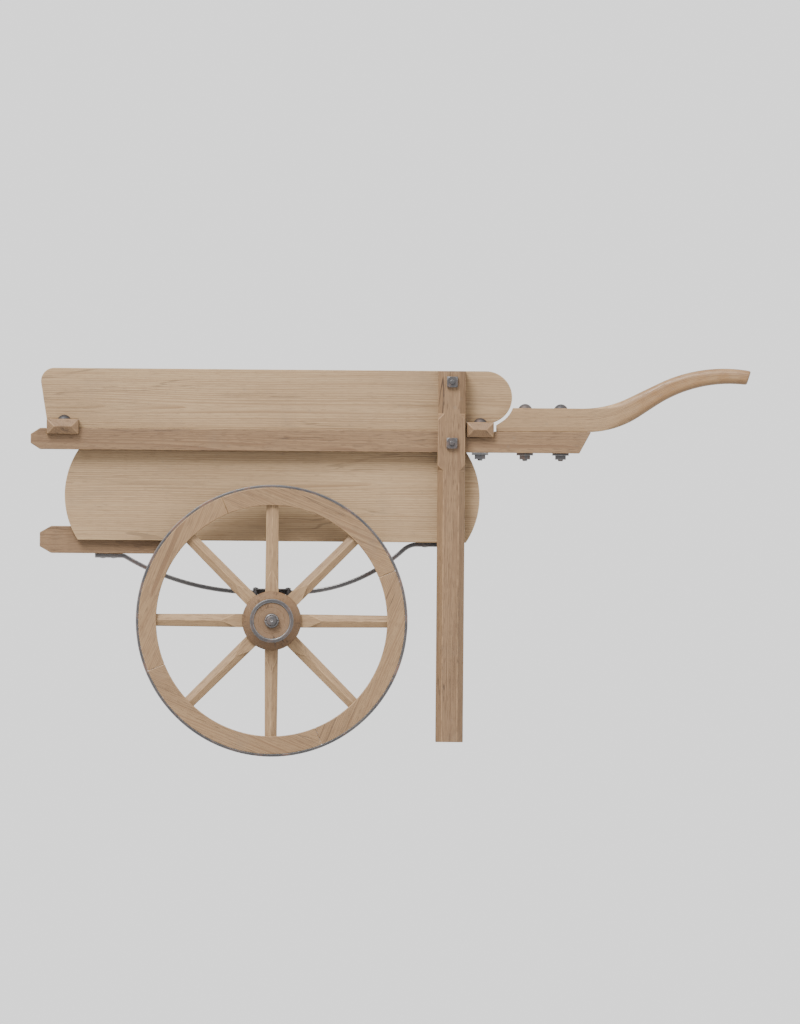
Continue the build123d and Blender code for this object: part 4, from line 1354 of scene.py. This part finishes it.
# ---------------------------------------------------------------- wheels
def wheel_ironwork(piece, slot_name, node, width):
    """Finish an iron piece of the right wheel and its mirror on the left one."""
    pair = pair_of(piece, f"{node}_iron")
    for side in SIDES:
        ironwork(pair[side], f"{side}_wheel", slot_name, [f"{side}_{node}"], width, 1)


class HANDCART_OT_tyres(bpy.types.Operator):
    """Shrunk iron tyres, worn round at their outer edges"""

    bl_idname = "handcart.tyres"
    bl_label = "Tyres"

    def execute(self, context):
        inner = WHEEL_R - 6.5 * MM
        half = RIM_HALF
        worn = 2.2 * MM
        outline = [
            (inner, -half),
            (WHEEL_R - worn, -half),
            (WHEEL_R - 0.35 * worn, -half + 0.3 * worn),
            (WHEEL_R, -half + worn * 1.4),
            (WHEEL_R, half - worn * 1.4),
            (WHEEL_R - 0.35 * worn, half - 0.3 * worn),
            (WHEEL_R - worn, half),
            (inner, half),
        ]
        tyre = turned("tyre", outline, WHEEL_MIDDLE, steps=144)
        wheel_ironwork(tyre, "tyre_iron", "tyre", 0.5 * MM)
        return {"FINISHED"}


class HANDCART_OT_felloes(bpy.types.Operator):
    """Four felloes to a wheel, butted at open joints"""

    bl_idname = "handcart.felloes"
    bl_label = "Felloes"

    def execute(self, context):
        outer = WHEEL_R - 6.5 * MM
        inner = outer - 45.2 * MM
        half = RIM_HALF
        outline = [(inner, -half), (outer, -half), (outer, half), (inner, half)]
        joint_gap = radians(0.02)
        quarter = pi / 2
        first = -pi / 8 + joint_gap / 2
        width = 2.2 * MM
        one = turned("felloe", outline, WHEEL_MIDDLE, steps=30, turn=quarter - joint_gap, start=first)
        ease_edges(one, width, 3)
        for side in SIDES:
            set_of_four = []
            for number in range(4):
                turn = number * quarter
                about = Matrix.Translation(WHEEL_MIDDLE) @ Matrix.Rotation(turn, 4, "Y")
                felloe = copy_of(one, f"felloe_{number}", about @ Matrix.Translation(-WHEEL_MIDDLE))
                points = [point.co for point in felloe.data.vertices]
                outward = sum(points, Vector()) / len(points) - WHEEL_MIDDLE
                along = outward.normalized().cross(ACROSS)
                if side == "left":
                    felloe.data.transform(OTHER_SIDE)
                    close_up(felloe)
                start = 90 + 1.9 * number + (9 if side == "left" else 0)
                lay_grain(felloe, along, ACROSS, (0.05, 0.045 + 0.006 * number), start, 0.006)
                set_of_four.append(smooth_over(felloe))
            whole = joined(set_of_four, f"{side}_felloes_timber")
            hand_over(whole, f"{side}_wheel", "wheel_timber", f"{side}_felloes")
        bpy.data.objects.remove(one)
        return {"FINISHED"}


class HANDCART_OT_naves(bpy.types.Operator):
    """Turned naves with a scored belly, a nose and seats for their hoops"""

    bl_idname = "handcart.naves"
    bl_label = "Naves"

    def execute(self, context):
        low, high = NAVE
        centre = Vector((AXLE_X, 0, AXLE_Z))
        belly_r = (high.z - low.z) / 2
        box_r = 18 * MM
        hoop_seat = 57 * MM
        hoop_r = 62 * MM
        hoop_long = 18 * MM
        nose_r = 55.4 * MM
        nose_seat = 50.3 * MM
        nose_long = 20 * MM
        belly_half = 26 * MM
        scratch = 1.2 * MM
        back, front = low.y, high.y
        outline = [
            (box_r, back),
            (hoop_seat, back),
            (hoop_seat, back + hoop_long),
            (hoop_r - 1 * MM, back + hoop_long),
            (hoop_r, back + hoop_long + 1 * MM),
            (hoop_r + 3 * MM, WHEEL_Y - belly_half - 12 * MM),
            (hoop_r + 8.5 * MM, WHEEL_Y - belly_half - 3 * MM),
            (belly_r - 1.2 * MM, WHEEL_Y - belly_half + 1 * MM),
            (belly_r, WHEEL_Y - belly_half + 4 * MM),
            (belly_r, WHEEL_Y - 20.5 * MM),
            (belly_r - scratch, WHEEL_Y - 19.5 * MM),
            (belly_r, WHEEL_Y - 18.5 * MM),
            (belly_r, WHEEL_Y + 18.5 * MM),
            (belly_r - scratch, WHEEL_Y + 19.5 * MM),
            (belly_r, WHEEL_Y + 20.5 * MM),
            (belly_r, WHEEL_Y + belly_half - 4 * MM),
            (belly_r - 1.2 * MM, WHEEL_Y + belly_half - 1 * MM),
            (nose_r + 12 * MM, WHEEL_Y + belly_half + 7 * MM),
            (nose_r + 5.5 * MM, WHEEL_Y + belly_half + 14.5 * MM),
            (nose_r + 1.6 * MM, front - nose_long - 5 * MM),
            (nose_r, front - nose_long - 1 * MM),
            (nose_r - 1 * MM, front - nose_long),
            (nose_seat, front - nose_long),
            (nose_seat, front),
            (46 * MM, front),
            (34 * MM, front - 0.4 * MM),
            (33 * MM, front - 1.4 * MM),
            (32 * MM, front - 0.4 * MM),
            (box_r, front),
        ]
        nave = turned("nave", outline, centre, steps=96)
        pair = pair_of(nave, "nave_timber")
        for side, start in zip(SIDES, (120.0, 125.0)):
            piece = pair[side]
            ease_edges(piece, 0.6 * MM, 1, 50)
            lay_grain(piece, ACROSS, ALONG, (0.004, 0.003), start, 0.0)
            smooth_over(piece)
            hand_over(piece, f"{side}_wheel", "nave_timber", f"{side}_nave")
        return {"FINISHED"}


class HANDCART_OT_nave_hoops(bpy.types.Operator):
    """Nose rings with a lip, back hoops, and the finish of the cast boxes"""

    bl_idname = "handcart.nave_hoops"
    bl_label = "Nave hoops"

    def execute(self, context):
        centre = Vector((AXLE_X, 0, AXLE_Z))
        front = NAVE[1].y
        back = NAVE[0].y
        ring_r = 55.4 * MM
        ring_seat = 50.3 * MM
        lip_r = 45.2 * MM
        ring_long = 20 * MM
        lip = 3 * MM
        nose = [
            (ring_seat, front - ring_long),
            (ring_r - 0.8 * MM, front - ring_long),
            (ring_r, front - ring_long + 1.2 * MM),
            (ring_r - 0.5 * MM, front - ring_long / 2),
            (ring_r, front + lip - 2.6 * MM),
            (ring_r - 0.9 * MM, front + lip - 0.8 * MM),
            (ring_r - 2.6 * MM, front + lip),
            (lip_r + 1.6 * MM, front + lip),
            (lip_r, front + lip - 1.4 * MM),
            (lip_r, front),
            (ring_seat, front),
        ]
        hoop_r = 62 * MM
        hoop_seat = 57 * MM
        hoop_long = 18 * MM
        hoop = [
            (hoop_seat, back),
            (hoop_r - 0.8 * MM, back),
            (hoop_r, back + 1.4 * MM),
            (hoop_r, back + hoop_long - 1.4 * MM),
            (hoop_r - 0.8 * MM, back + hoop_long),
            (hoop_seat, back + hoop_long),
        ]
        for node, outline in (("nose_ring", nose), ("back_hoop", hoop)):
            ring = turned(node, outline, centre, steps=80)
            wheel_ironwork(ring, "forged_iron", node, 0.4 * MM)
        for side in SIDES:
            cast = frame["nodes"][f"{side}_hub_box"]
            cast.data.materials.clear()
            cast.data.materials.append(FINISHES["cast_box_iron"]())
        return {"FINISHED"}


class HANDCART_OT_spokes(bpy.types.Operator):
    """Eight spokes to a wheel, ridged on both faces beyond an arrow-shaped stop"""

    bl_idname = "handcart.spokes"
    bl_label = "Spokes"

    def execute(self, context):
        root_r = 70 * MM
        tip_r = WHEEL_R - 6.5 * MM - 43.5 * MM
        wide_root = 17 * MM
        wide_tip = 15.25 * MM
        half_thick = 15 * MM
        facet = 8 * MM
        arrow_base = AXLE_Z + 90 * MM
        arrow_tip = AXLE_Z + 130 * MM
        face_y = WHEEL_Y + half_thick
        spoke = block(
            "spoke",
            (AXLE_X - wide_root, WHEEL_Y - half_thick, AXLE_Z + root_r),
            (AXLE_X + wide_root, face_y, AXLE_Z + tip_r),
        )
        long = tip_r - root_r
        for side in (-1, 1):
            saw_off(
                spoke,
                (AXLE_X + side * wide_root, WHEEL_Y, AXLE_Z + root_r + 5 * MM),
                (side * long, 0, wide_root - wide_tip),
            )
        wedge = block(
            "wedge",
            (AXLE_X, WHEEL_Y + 1 * MM, AXLE_Z + root_r),
            (AXLE_X + 2 * wide_root, face_y + wide_root, AXLE_Z + WHEEL_R),
        )
        saw_off(wedge, (AXLE_X, face_y, AXLE_Z), (-facet, -wide_root, 0))
        saw_off(wedge, (AXLE_X, 0, arrow_tip), (arrow_base - arrow_tip, 0, -wide_root))
        centre = Vector((AXLE_X, WHEEL_Y, 0))
        for x_sign, y_sign in ((1, 1), (-1, 1), (1, -1), (-1, -1)):
            mirror = Matrix.Diagonal((x_sign, y_sign, 1, 1))
            turn_over = Matrix.Translation(centre) @ mirror @ Matrix.Translation(-centre)
            cutter = copy_of(wedge, "cutter", turn_over)
            close_up(cutter)
            cut_with(spoke, cutter)
        bpy.data.objects.remove(wedge)
        ease_edges(spoke, 1.1 * MM, 2, 20)
        for side in SIDES:
            for number in range(8):
                name = f"{side}_spoke_{number + 1}"
                piece = copy_of(spoke, name + "_timber", OTHER_SIDE if side == "left" else Matrix.Identity(4))
                start = 140 + 1.1 * number + (10 if side == "left" else 0)
                lean = 0.006 * (number % 3 - 1)
                pith = (0.06 + 0.004 * (number % 4), 0.03 - 0.009 * (number % 5))
                lay_grain(piece, UP, ALONG, pith, start, lean)
                smooth_over(piece, 24)
                turn = Matrix.Rotation(number * pi / 4, 4, "Y")
                hub = Vector((AXLE_X, 0, AXLE_Z))
                piece.data.transform(Matrix.Translation(hub) @ turn @ Matrix.Translation(-hub))
                hand_over(piece, f"{side}_wheel", "spoke_timber", name)
        bpy.data.objects.remove(spoke)
        return {"FINISHED"}


# ---------------------------------------------------------------- axle and springs
class HANDCART_OT_axle(bpy.types.Operator):
    """Wooden axle bed, iron bar with turned arms, and the round nuts that keep the wheels on"""

    bl_idname = "handcart.axle"
    bl_label = "Axle"

    def execute(self, context):
        low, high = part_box("axle_bed")
        bar_half = 16 * MM
        bed = block("axle_bed_timber", low, high)
        slot_low = (AXLE_X - bar_half, low.y - 0.1, low.z - 0.01)
        slot_high = (AXLE_X + bar_half, high.y + 0.1, AXLE_Z + bar_half)
        cut_with(bed, block("housing", slot_low, slot_high))
        timber(bed, "axle", "frame_timber", ["axle_bed"], ACROSS, ALONG, (0.05, 0.02), 160)

        low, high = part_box("axle_bar")
        shoulder = NAVE[0].y - 0.3 * MM
        shoulder_in = shoulder - 9.7 * MM
        arm_r = 12.7 * MM
        shoulder_r = 28 * MM
        bar = block(
            "bar",
            (AXLE_X - bar_half, -shoulder_in, AXLE_Z - bar_half),
            (AXLE_X + bar_half, shoulder_in, AXLE_Z + bar_half),
        )
        centre = Vector((AXLE_X, 0, AXLE_Z))
        arm_outline = [
            (0, shoulder_in - 4 * MM),
            (bar_half * 0.8, shoulder_in - 4 * MM),
            (shoulder_r - 1 * MM, shoulder_in),
            (shoulder_r, shoulder_in + 1 * MM),
            (shoulder_r, shoulder - 1 * MM),
            (shoulder_r - 1 * MM, shoulder),
            (arm_r, shoulder),
            (arm_r, high.y - 2 * MM),
            (arm_r - 1.2 * MM, high.y - 0.6 * MM),
            (arm_r - 2.6 * MM, high.y),
            (2.4 * MM, high.y),
            (0, high.y - 2 * MM),
        ]
        arm = turned("arm", arm_outline, centre, steps=64)
        other_arm = copy_of(arm, "other_arm", OTHER_SIDE)
        ironwork(joined([bar, arm, other_arm], "axle_bar_iron"), "axle", "forged_iron", ["axle_bar"])

        low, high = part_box("axle_caps")
        cap_r = 18.3 * MM
        cap_in = high.y - 12 * MM
        cap_outline = [
            (arm_r, cap_in),
            (cap_r - 0.8 * MM, cap_in),
            (cap_r, cap_in + 0.8 * MM),
            (cap_r, high.y - 3.2 * MM),
            (cap_r - 0.7 * MM, high.y - 1.4 * MM),
            (cap_r - 2.6 * MM, high.y),
            (arm_r + 0.5 * MM, high.y),
            (arm_r, high.y - 0.5 * MM),
        ]
        cap = turned("cap", cap_outline, centre, steps=64)
        slot_cutter = block(
            "cap_slot",
            (AXLE_X - 0.05, high.y - 2.2 * MM, AXLE_Z - 2 * MM),
            (AXLE_X + 0.05, high.y + 0.01, AXLE_Z + 2 * MM),
        )
        cut_with(cap, slot_cutter)
        other_cap = copy_of(cap, "other_cap", OTHER_SIDE)
        caps = joined([cap, other_cap], "axle_caps_iron")
        ironwork(caps, "axle", "forged_iron", ["axle_caps"], 0.3 * MM, 1)
        return {"FINISHED"}


class HANDCART_OT_springs(bpy.types.Operator):
    """Four half leaves, each screwed to a bearer at its foot and clipped to the axle at its seat"""

    bl_idname = "handcart.springs"
    bl_label = "Leaf springs"

    def execute(self, context):
        half_wide = (LEAF[1].y - LEAF[0].y) / 2
        half_thick = LEAF_THICK / 2
        seat_half = 48 * MM
        seat_z = LEAF_BOTTOM + half_thick
        ends = (
            ("front", -1, LEAF[0].x, 67 * MM, BEARER[0].z, 24 * MM),
            ("rear", 1, LEAF[1].x, 82 * MM, STEPPED_BOTTOM, 50 * MM),
        )
        corner = 2.2 * MM
        for end, heading, far_x, foot_long, foot_top, bend_r in ends:
            foot_x = far_x - heading * foot_long
            rise = foot_top - half_thick - seat_z
            seat_x = AXLE_X + heading * seat_half
            run = abs(foot_x - seat_x)
            angle = 2 * atan2(rise, run)
            radius = (run**2 + rise**2) / (2 * rise) - bend_r
            line = [(AXLE_X - heading * 0.05 * MM, seat_z, 0.0)]
            line += [(AXLE_X + heading * seat_half * step / 4, seat_z, 0.0) for step in range(1, 5)]
            for step in range(1, 33):
                turn = angle * step / 32
                line.append((seat_x + heading * radius * sin(turn), seat_z + radius * (1 - cos(turn)), turn))
            bend_x, bend_z, _ = line[-1]
            for step in range(1, 13):
                turn = angle * (1 - step / 12)
                x = bend_x + heading * bend_r * (sin(angle) - sin(turn))
                line.append((x, bend_z + bend_r * (cos(turn) - cos(angle)), turn))
            level_x = line[-1][0]
            for step in range(1, 9):
                line.append((level_x + (far_x - level_x) * step / 8, line[-1][1], 0.0))

            def section(x, z, turn, shrink=0.0):
                """A ring round the leaf: a flat bar with rolled edges."""
                upward = Vector((-heading * sin(turn), 0, cos(turn)))
                ring = []
                for quarter in range(4):
                    centre_y = (half_wide - shrink - corner) * (1 if quarter in (0, 1) else -1)
                    centre_t = (half_thick - shrink - corner) * (1 if quarter in (1, 2) else -1)
                    for step in range(4):
                        angle_now = -pi / 2 + (quarter + step / 3) * pi / 2
                        across = centre_y + corner * cos(angle_now)
                        up = centre_t + corner * sin(angle_now)
                        ring.append(Vector((x, LEAF_Y + across, z)) + upward * up)
                return ring

            rings = [section(*line[0])]
            rings += [section(*place) for place in line[1:-1]]
            last_x, last_z, last_turn = line[-1]
            rings.append(section(last_x - heading * 1.5 * MM, last_z, last_turn))
            rings.append(section(last_x - heading * 0.4 * MM, last_z, last_turn, 0.5 * MM))
            rings.append(section(last_x, last_z, last_turn, 1.5 * MM))
            half = drawn_out("half_leaf", rings)
            pair = pair_of(half, f"{end}_half_leaf")
            for side in SIDES:
                piece = pair[side]
                take(piece)
                arris = piece.data.attributes.new("arris", "FLOAT", "FACE")
                rounded = [1.0 if 0.2 < abs(face.normal.y) < 0.97 else 0.0 for face in piece.data.polygons]
                arris.data.foreach_set("value", rounded)
                smooth_over(piece, 35)
                hand_over(piece, None, "spring_steel", f"{side}_leaf_spring")
                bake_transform(piece)
        return {"FINISHED"}


def cup_head(name, radius, tall, shank_r, shank_long):
    """A bolt that points down from Z = 0, with a domed head and a dressed tip."""
    dome_r = (radius**2 + tall**2) / (2 * tall)
    spread = acos((dome_r - tall) / dome_r)
    rim = 0.5 * MM
    outline = [(0, -shank_long), (shank_r - 2.4 * MM, -shank_long)]
    outline += [(shank_r - 0.5 * MM, -shank_long + 0.9 * MM), (shank_r, -shank_long + 1.8 * MM)]
    outline += [(shank_r, 0), (radius - rim, 0), (radius, rim)]
    for step in range(1, 9):
        angle = spread * (1 - step / 8)
        outline.append((dome_r * sin(angle), max(rim * 1.2, tall - dome_r * (1 - cos(angle)))))
    outline[-1] = (0, tall)
    return turned(name, outline, (0, 0, 0), axis=UP, steps=40)


def threaded_tip(name, radius, long, pitch):
    """The end of a bolt that stands out of its nut, with its turns cut as rings, pointing down from Z = 0."""
    outline = [(0, 0), (radius, 0)]
    turns = int((long - 1.2 * MM) / pitch)
    depth = 0.35 * pitch
    for turn in range(turns):
        top = -turn * pitch
        outline += [(radius, top - 0.2 * pitch), (radius - depth, top - 0.6 * pitch), (radius, top - pitch)]
    outline += [(radius - 1.4 * MM, -long + 0.25 * MM), (radius - 2.6 * MM, -long), (0, -long)]
    return turned(name, outline, (0, 0, 0), axis=UP, steps=32)


def square_nut(name, side, tall):
    """A square nut that sits on Z = 0 and hangs below it, with its outer corners taken off."""
    half = side / 2
    nut = block(name, (-half, -half, -tall), (half, half, 0))
    clear_bench()
    reach = half * 1.06
    bpy.ops.mesh.primitive_cone_add(
        vertices=48,
        radius1=reach,
        radius2=reach + tall * 1.9,
        depth=tall * 1.1,
        location=(0, 0, -tall * 0.45),
    )
    cut_with(nut, named("nut_form"), "INTERSECT")
    return nut


def seat_of(place, turn=None):
    """A matrix that puts a fastener's seat at a place, turned if it doesn't hang straight down."""
    return Matrix.Translation(place) @ (turn or Matrix.Identity(4))


TO_THE_SIDE = Matrix.Rotation(pi / 2, 4, "X")  # from pointing down to pointing at +Y


class HANDCART_OT_spring_fixings(bpy.types.Operator):
    """Clip plates, bolts and nuts at the spring seats, and the screws in the spring feet"""

    bl_idname = "handcart.spring_fixings"
    bl_label = "Spring fixings"

    def execute(self, context):
        low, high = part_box("clip_plates")
        thick = 4 * MM
        half_x = (high.x - low.x) / 2
        near_y = LEAF_Y - (high.y - LEAF_Y)
        plates = [
            block("top_plate", (AXLE_X - half_x, near_y, high.z - thick), (AXLE_X + half_x, high.y, high.z)),
            block("low_plate", (AXLE_X - half_x, near_y, low.z), (AXLE_X + half_x, high.y, low.z + thick)),
        ]
        plates += [copy_of(plate, "other_plate", OTHER_SIDE) for plate in plates]
        ironwork(joined(plates, "clip_plates_iron"), "axle", "forged_iron", ["clip_plates"], 0.9 * MM)

        bolt_low, bolt_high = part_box("clip_bolts")
        bolt_r = 5 * MM
        bolt_x = half_x - bolt_r - 2 * MM
        bolt_y = (high.y - LEAF_Y) - 6 * MM
        head_tall = bolt_high.z - high.z
        shank_long = high.z - bolt_low.z
        bolt = cup_head("clip_bolt", 8 * MM, head_tall, bolt_r, shank_long)
        nut = square_nut("clip_nut", 17 * MM, 8 * MM)
        spots = [(AXLE_X + sx * bolt_x, LEAF_Y + sy * bolt_y) for sx in (-1, 1) for sy in (-1, 1)]
        bolts = [copy_of(bolt, "clip_bolt", seat_of((x, y, high.z))) for x, y in spots]
        nuts = [copy_of(nut, "clip_nut", seat_of((x, y, low.z))) for x, y in spots]
        for made in (bolts, nuts):
            made += [copy_of(one, "other", OTHER_SIDE) for one in made]
        for worked in (bolt, nut):
            bpy.data.objects.remove(worked)
        ironwork(joined(bolts, "clip_bolts_iron"), "axle", "forged_iron", ["clip_bolts"], 0.4 * MM, 1)
        ironwork(joined(nuts, "clip_nuts_iron"), "axle", "forged_iron", ["clip_nuts"], 0.6 * MM, 1)

        head_r = 8 * MM
        head_tall = 1.4 * MM
        dome_r = (head_r**2 + head_tall**2) / (2 * head_tall)
        spread = acos((dome_r - head_tall) / dome_r)
        outline = [(0, 40 * MM), (3.5 * MM, 34 * MM), (4 * MM, 8 * MM), (head_r, 4 * MM), (head_r, 0)]
        outline += [
            (dome_r * sin(spread * (1 - step / 5)), -head_tall + dome_r * (1 - cos(spread * (1 - step / 5))))
            for step in range(1, 6)
        ]
        outline[-1] = (0, -head_tall)
        screw = turned("spring_screw", outline, (0, 0, 0), axis=UP, steps=32)
        cut_with(screw, block("screw_slot", (-0.02, -0.9 * MM, -0.01), (0.02, 0.9 * MM, -0.1 * MM)))
        inset = 20 * MM
        feet = (
            (LEAF[0].x, LEAF[0].x + 67 * MM, BEARER[0].z - LEAF_THICK),
            (LEAF[1].x - 82 * MM, LEAF[1].x, STEPPED_BOTTOM - LEAF_THICK),
        )
        screws = []
        for number, (start_x, end_x, z) in enumerate(feet):
            for count, x in enumerate((start_x + inset, end_x - inset)):
                turn = Matrix.Rotation(0.7 + 1.3 * (2 * number + count), 4, "Z")
                screws.append(copy_of(screw, "screw", seat_of((x, LEAF_Y, z), turn)))
        screws += [copy_of(one, "other", OTHER_SIDE) for one in screws]
        bpy.data.objects.remove(screw)
        whole = joined(screws, "spring_screws_iron")
        ironwork(whole, "cart_body", "forged_iron", ["spring_screws"], 0.25 * MM, 1)
        return {"FINISHED"}


class HANDCART_OT_frame_fixings(bpy.types.Operator):
    """Cup-headed bolts with plates and square nuts, and the nails in the floor"""

    bl_idname = "handcart.frame_fixings"
    bl_label = "Frame fixings"

    def execute(self, context):
        rail_bottom = RAIL[0].z
        rail_top = RAIL[1].z
        handle_top = rail_top + 59.5 * MM
        cross_top = FRONT_CROSS[1].z
        cross_y = BOARD[1].y + 17 * MM
        handle_y = (HANDLE[0].y + HANDLE[1].y) / 2
        plate_thick = 6 * MM
        nut_tall = 10 * MM
        past_nut = 4 * MM
        bolt_r = 6.5 * MM
        end_z = rail_bottom - plate_thick - nut_tall - past_nut
        through = [
            (WELL_REAR_X + 34 * MM, cross_y, cross_top),
            (HANDLE[0].x + 73 * MM, handle_y, handle_top),
            (HANDLE[0].x + 163 * MM, handle_y, handle_top),
        ]
        screw_spot = (WELL_FRONT_X - 36.5 * MM, cross_y, cross_top)
        leg_x = WELL_REAR_X - 37 * MM
        leg_heights = (rail_top - 30.5 * MM, BOARD[1].z - 27.5 * MM)
        inside_y = WELL_HALF - 40 * MM
        leg_long = LEG[1].y + nut_tall + past_nut - inside_y

        head = (16.5 * MM, 10.5 * MM, bolt_r)
        bolts = []
        for x, y, z in through:
            bolt = cup_head("bolt", *head, z - end_z - past_nut)
            tip = threaded_tip("tip", bolt_r, past_nut, 1.1 * MM)
            tip.data.transform(Matrix.Translation((0, 0, end_z + past_nut - z)))
            bolts += [copy_of(made, "made", seat_of((x, y, z))) for made in (bolt, tip)]
            for made in (bolt, tip):
                bpy.data.objects.remove(made)
        coach_screw = cup_head("coach_screw", *head, 66 * MM)
        coach_screw.data.transform(seat_of(screw_spot))
        bolts.append(coach_screw)
        for z in leg_heights:
            bolt = cup_head("leg_bolt", *head, leg_long - past_nut)
            tip = threaded_tip("tip", bolt_r, past_nut, 1.1 * MM)
            tip.data.transform(Matrix.Translation((0, 0, past_nut - leg_long)))
            for made in (bolt, tip):
                made.data.transform(seat_of((leg_x, inside_y, z), TO_THE_SIDE))
                bolts.append(made)
        bolts += [copy_of(one, "other", OTHER_SIDE) for one in bolts]
        ironwork(joined(bolts, "coach_bolts_iron"), "cart_body", "forged_iron", ["coach_bolts"], 0.35 * MM, 1)

        plate = block("plate", (-21 * MM, -16.5 * MM, -plate_thick), (21 * MM, 16.5 * MM, 0))
        plates = [copy_of(plate, "plate", seat_of((x, y, rail_bottom))) for x, y, z in through]
        plates += [copy_of(one, "other", OTHER_SIDE) for one in plates]
        bpy.data.objects.remove(plate)
        ironwork(joined(plates, "bolt_plates_iron"), "cart_body", "forged_iron", ["bolt_plates"], 1.1 * MM)

        nut = square_nut("nut", 27 * MM, nut_tall)
        nuts = [copy_of(nut, "nut", seat_of((x, y, rail_bottom - plate_thick))) for x, y, z in through]
        nuts += [copy_of(nut, "nut", seat_of((leg_x, LEG[1].y, z), TO_THE_SIDE)) for z in leg_heights]
        nuts += [copy_of(one, "other", OTHER_SIDE) for one in nuts]
        bpy.data.objects.remove(nut)
        ironwork(joined(nuts, "square_nuts_iron"), "cart_body", "forged_iron", ["square_nuts"], 0.7 * MM)

        low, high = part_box("floor_planks")
        pitch = (high.x - low.x + 2 * MM) / 7
        half = 3.2 * MM
        nail = block("nail", (-half, -half, -3 * MM), (half, half, 0.9 * MM))
        open_up(nail)
        pick(nail, "FACE", lambda face: face.normal.z > 0.9)
        bpy.ops.mesh.inset(thickness=1.4 * MM)
        bpy.ops.transform.translate(value=(0, 0, 0.9 * MM))
        close_up(nail)
        nails = []
        bearer_y = (BEARER[0].y + BEARER[1].y) / 2
        for number in range(7):
            for count, share in enumerate((0.26, 0.74)):
                x = low.x + pitch * (number + share)
                stagger = 7 * MM * (-1) ** (number + count)
                turn = Matrix.Rotation(0.21 * (number + 3 * count), 4, "Z")
                nails.append(copy_of(nail, "nail", seat_of((x, bearer_y + stagger, high.z), turn)))
        nails += [copy_of(one, "other", OTHER_SIDE) for one in nails]
        bpy.data.objects.remove(nail)
        ironwork(joined(nails, "floor_nails"), "cart_body", "forged_iron", [], 0.3 * MM, 1)
        return {"FINISHED"}


# ---------------------------------------------------------------- stage
class HANDCART_OT_stage(bpy.types.Operator):
    """Pale floor and room, two large soft lights and the camera"""

    bl_idname = "handcart.stage"
    bl_label = "Stage"

    def execute(self, context):
        stage = context.scene.hand_cart_stage
        clear_bench()
        lights = (
            ("key_light", stage.key, (-0.55, -0.95, 1.15), 28),
            ("side_light", stage.side, (0.9, -0.55, 0.5), 50),
        )
        lit = stage.room
        for name, strength, towards, spread in lights:
            bpy.ops.object.light_add(type="SUN")
            light = bpy.context.view_layer.objects.active
            light.name = name
            light.data.energy = strength
            light.data.angle = radians(spread)
            direction = Vector(towards).normalized()
            light.rotation_euler = direction.to_track_quat("Z", "Y").to_euler()
            lit += strength * direction.z / pi

        bpy.ops.mesh.primitive_plane_add(size=400, location=(0, 0, 0))
        floor = named("floor")
        paint = bpy.data.materials.new("pale_floor")
        paint.use_nodes = True
        shader = next(node for node in paint.node_tree.nodes if node.type == "BSDF_PRINCIPLED")
        grey = stage.room / lit  # so that the lit floor is as bright as the room behind it
        shader.inputs["Base Color"].default_value = (grey, grey, grey, 1)
        shader.inputs["Roughness"].default_value = 1.0
        shader.inputs["Specular IOR Level"].default_value = 0.0
        floor.data.materials.append(paint)

        room = bpy.data.worlds.new("pale_room")
        room.use_nodes = True
        background = next(node for node in room.node_tree.nodes if node.type == "BACKGROUND")
        background.inputs["Color"].default_value = (1, 1, 1, 1)
        background.inputs["Strength"].default_value = stage.room
        context.scene.world = room

        behind_axle = 0.3214
        above_ground = 0.6199
        middle = Vector((AXLE_X + behind_axle, 0, above_ground))
        bpy.ops.object.camera_add(location=middle - ACROSS * stage.camera_away)
        camera = bpy.context.view_layer.objects.active
        camera.name = "camera"
        level = Matrix.Rotation(pi / 2, 4, "X")
        camera.rotation_euler = (level @ Matrix.Rotation(stage.roll, 4, "Z")).to_euler()
        camera.data.type = "ORTHO"
        camera.data.ortho_scale = stage.frame_tall
        camera.data.clip_start = 1.0
        camera.data.clip_end = 1000.0
        context.scene.camera = camera
        return {"FINISHED"}


OPERATORS = (
    HANDCART_OT_stage,
    HANDCART_OT_rails,
    HANDCART_OT_cross_members,
    HANDCART_OT_bearers,
    HANDCART_OT_legs,
    HANDCART_OT_side_boards,
    HANDCART_OT_lower_panels,
    HANDCART_OT_well,
    HANDCART_OT_handles,
    HANDCART_OT_tyres,
    HANDCART_OT_felloes,
    HANDCART_OT_naves,
    HANDCART_OT_nave_hoops,
    HANDCART_OT_spokes,
    HANDCART_OT_axle,
    HANDCART_OT_springs,
    HANDCART_OT_spring_fixings,
    HANDCART_OT_frame_fixings,
)
SETTINGS = {
    "hand_cart_sizes": CartSizes,
    "hand_cart_timber": CartTimber,
    "hand_cart_iron": CartIron,
    "hand_cart_stage": CartStage,
}


class HANDCART_PT_bench(bpy.types.Panel):
    """Sizes, colours and pieces of the hand cart"""

    bl_idname = "HANDCART_PT_bench"
    bl_label = "Hand cart"
    bl_space_type = "VIEW_3D"
    bl_region_type = "UI"
    bl_category = "Hand cart"

    def draw(self, context):
        for group, kind in SETTINGS.items():
            box = self.layout.box()
            box.label(text=kind.__doc__)
            for setting in kind.__annotations__:
                box.prop(getattr(context.scene, group), setting)
        for operator in OPERATORS:
            self.layout.operator(operator.bl_idname)


def register():
    for kind in (*SETTINGS.values(), *OPERATORS, HANDCART_PT_bench):
        bpy.utils.register_class(kind)
    for group, kind in SETTINGS.items():
        setattr(bpy.types.Scene, group, bpy.props.PointerProperty(type=kind))


def unregister():
    for group in SETTINGS:
        delattr(bpy.types.Scene, group)
    for kind in (HANDCART_PT_bench, *reversed(OPERATORS), *reversed(tuple(SETTINGS.values()))):
        bpy.utils.unregister_class(kind)


def main():
    register()
    for operator in OPERATORS:
        family, action = operator.bl_idname.split(".")
        getattr(getattr(bpy.ops, family), action)()
    clear_bench()


if __name__ == "__main__":
    main()
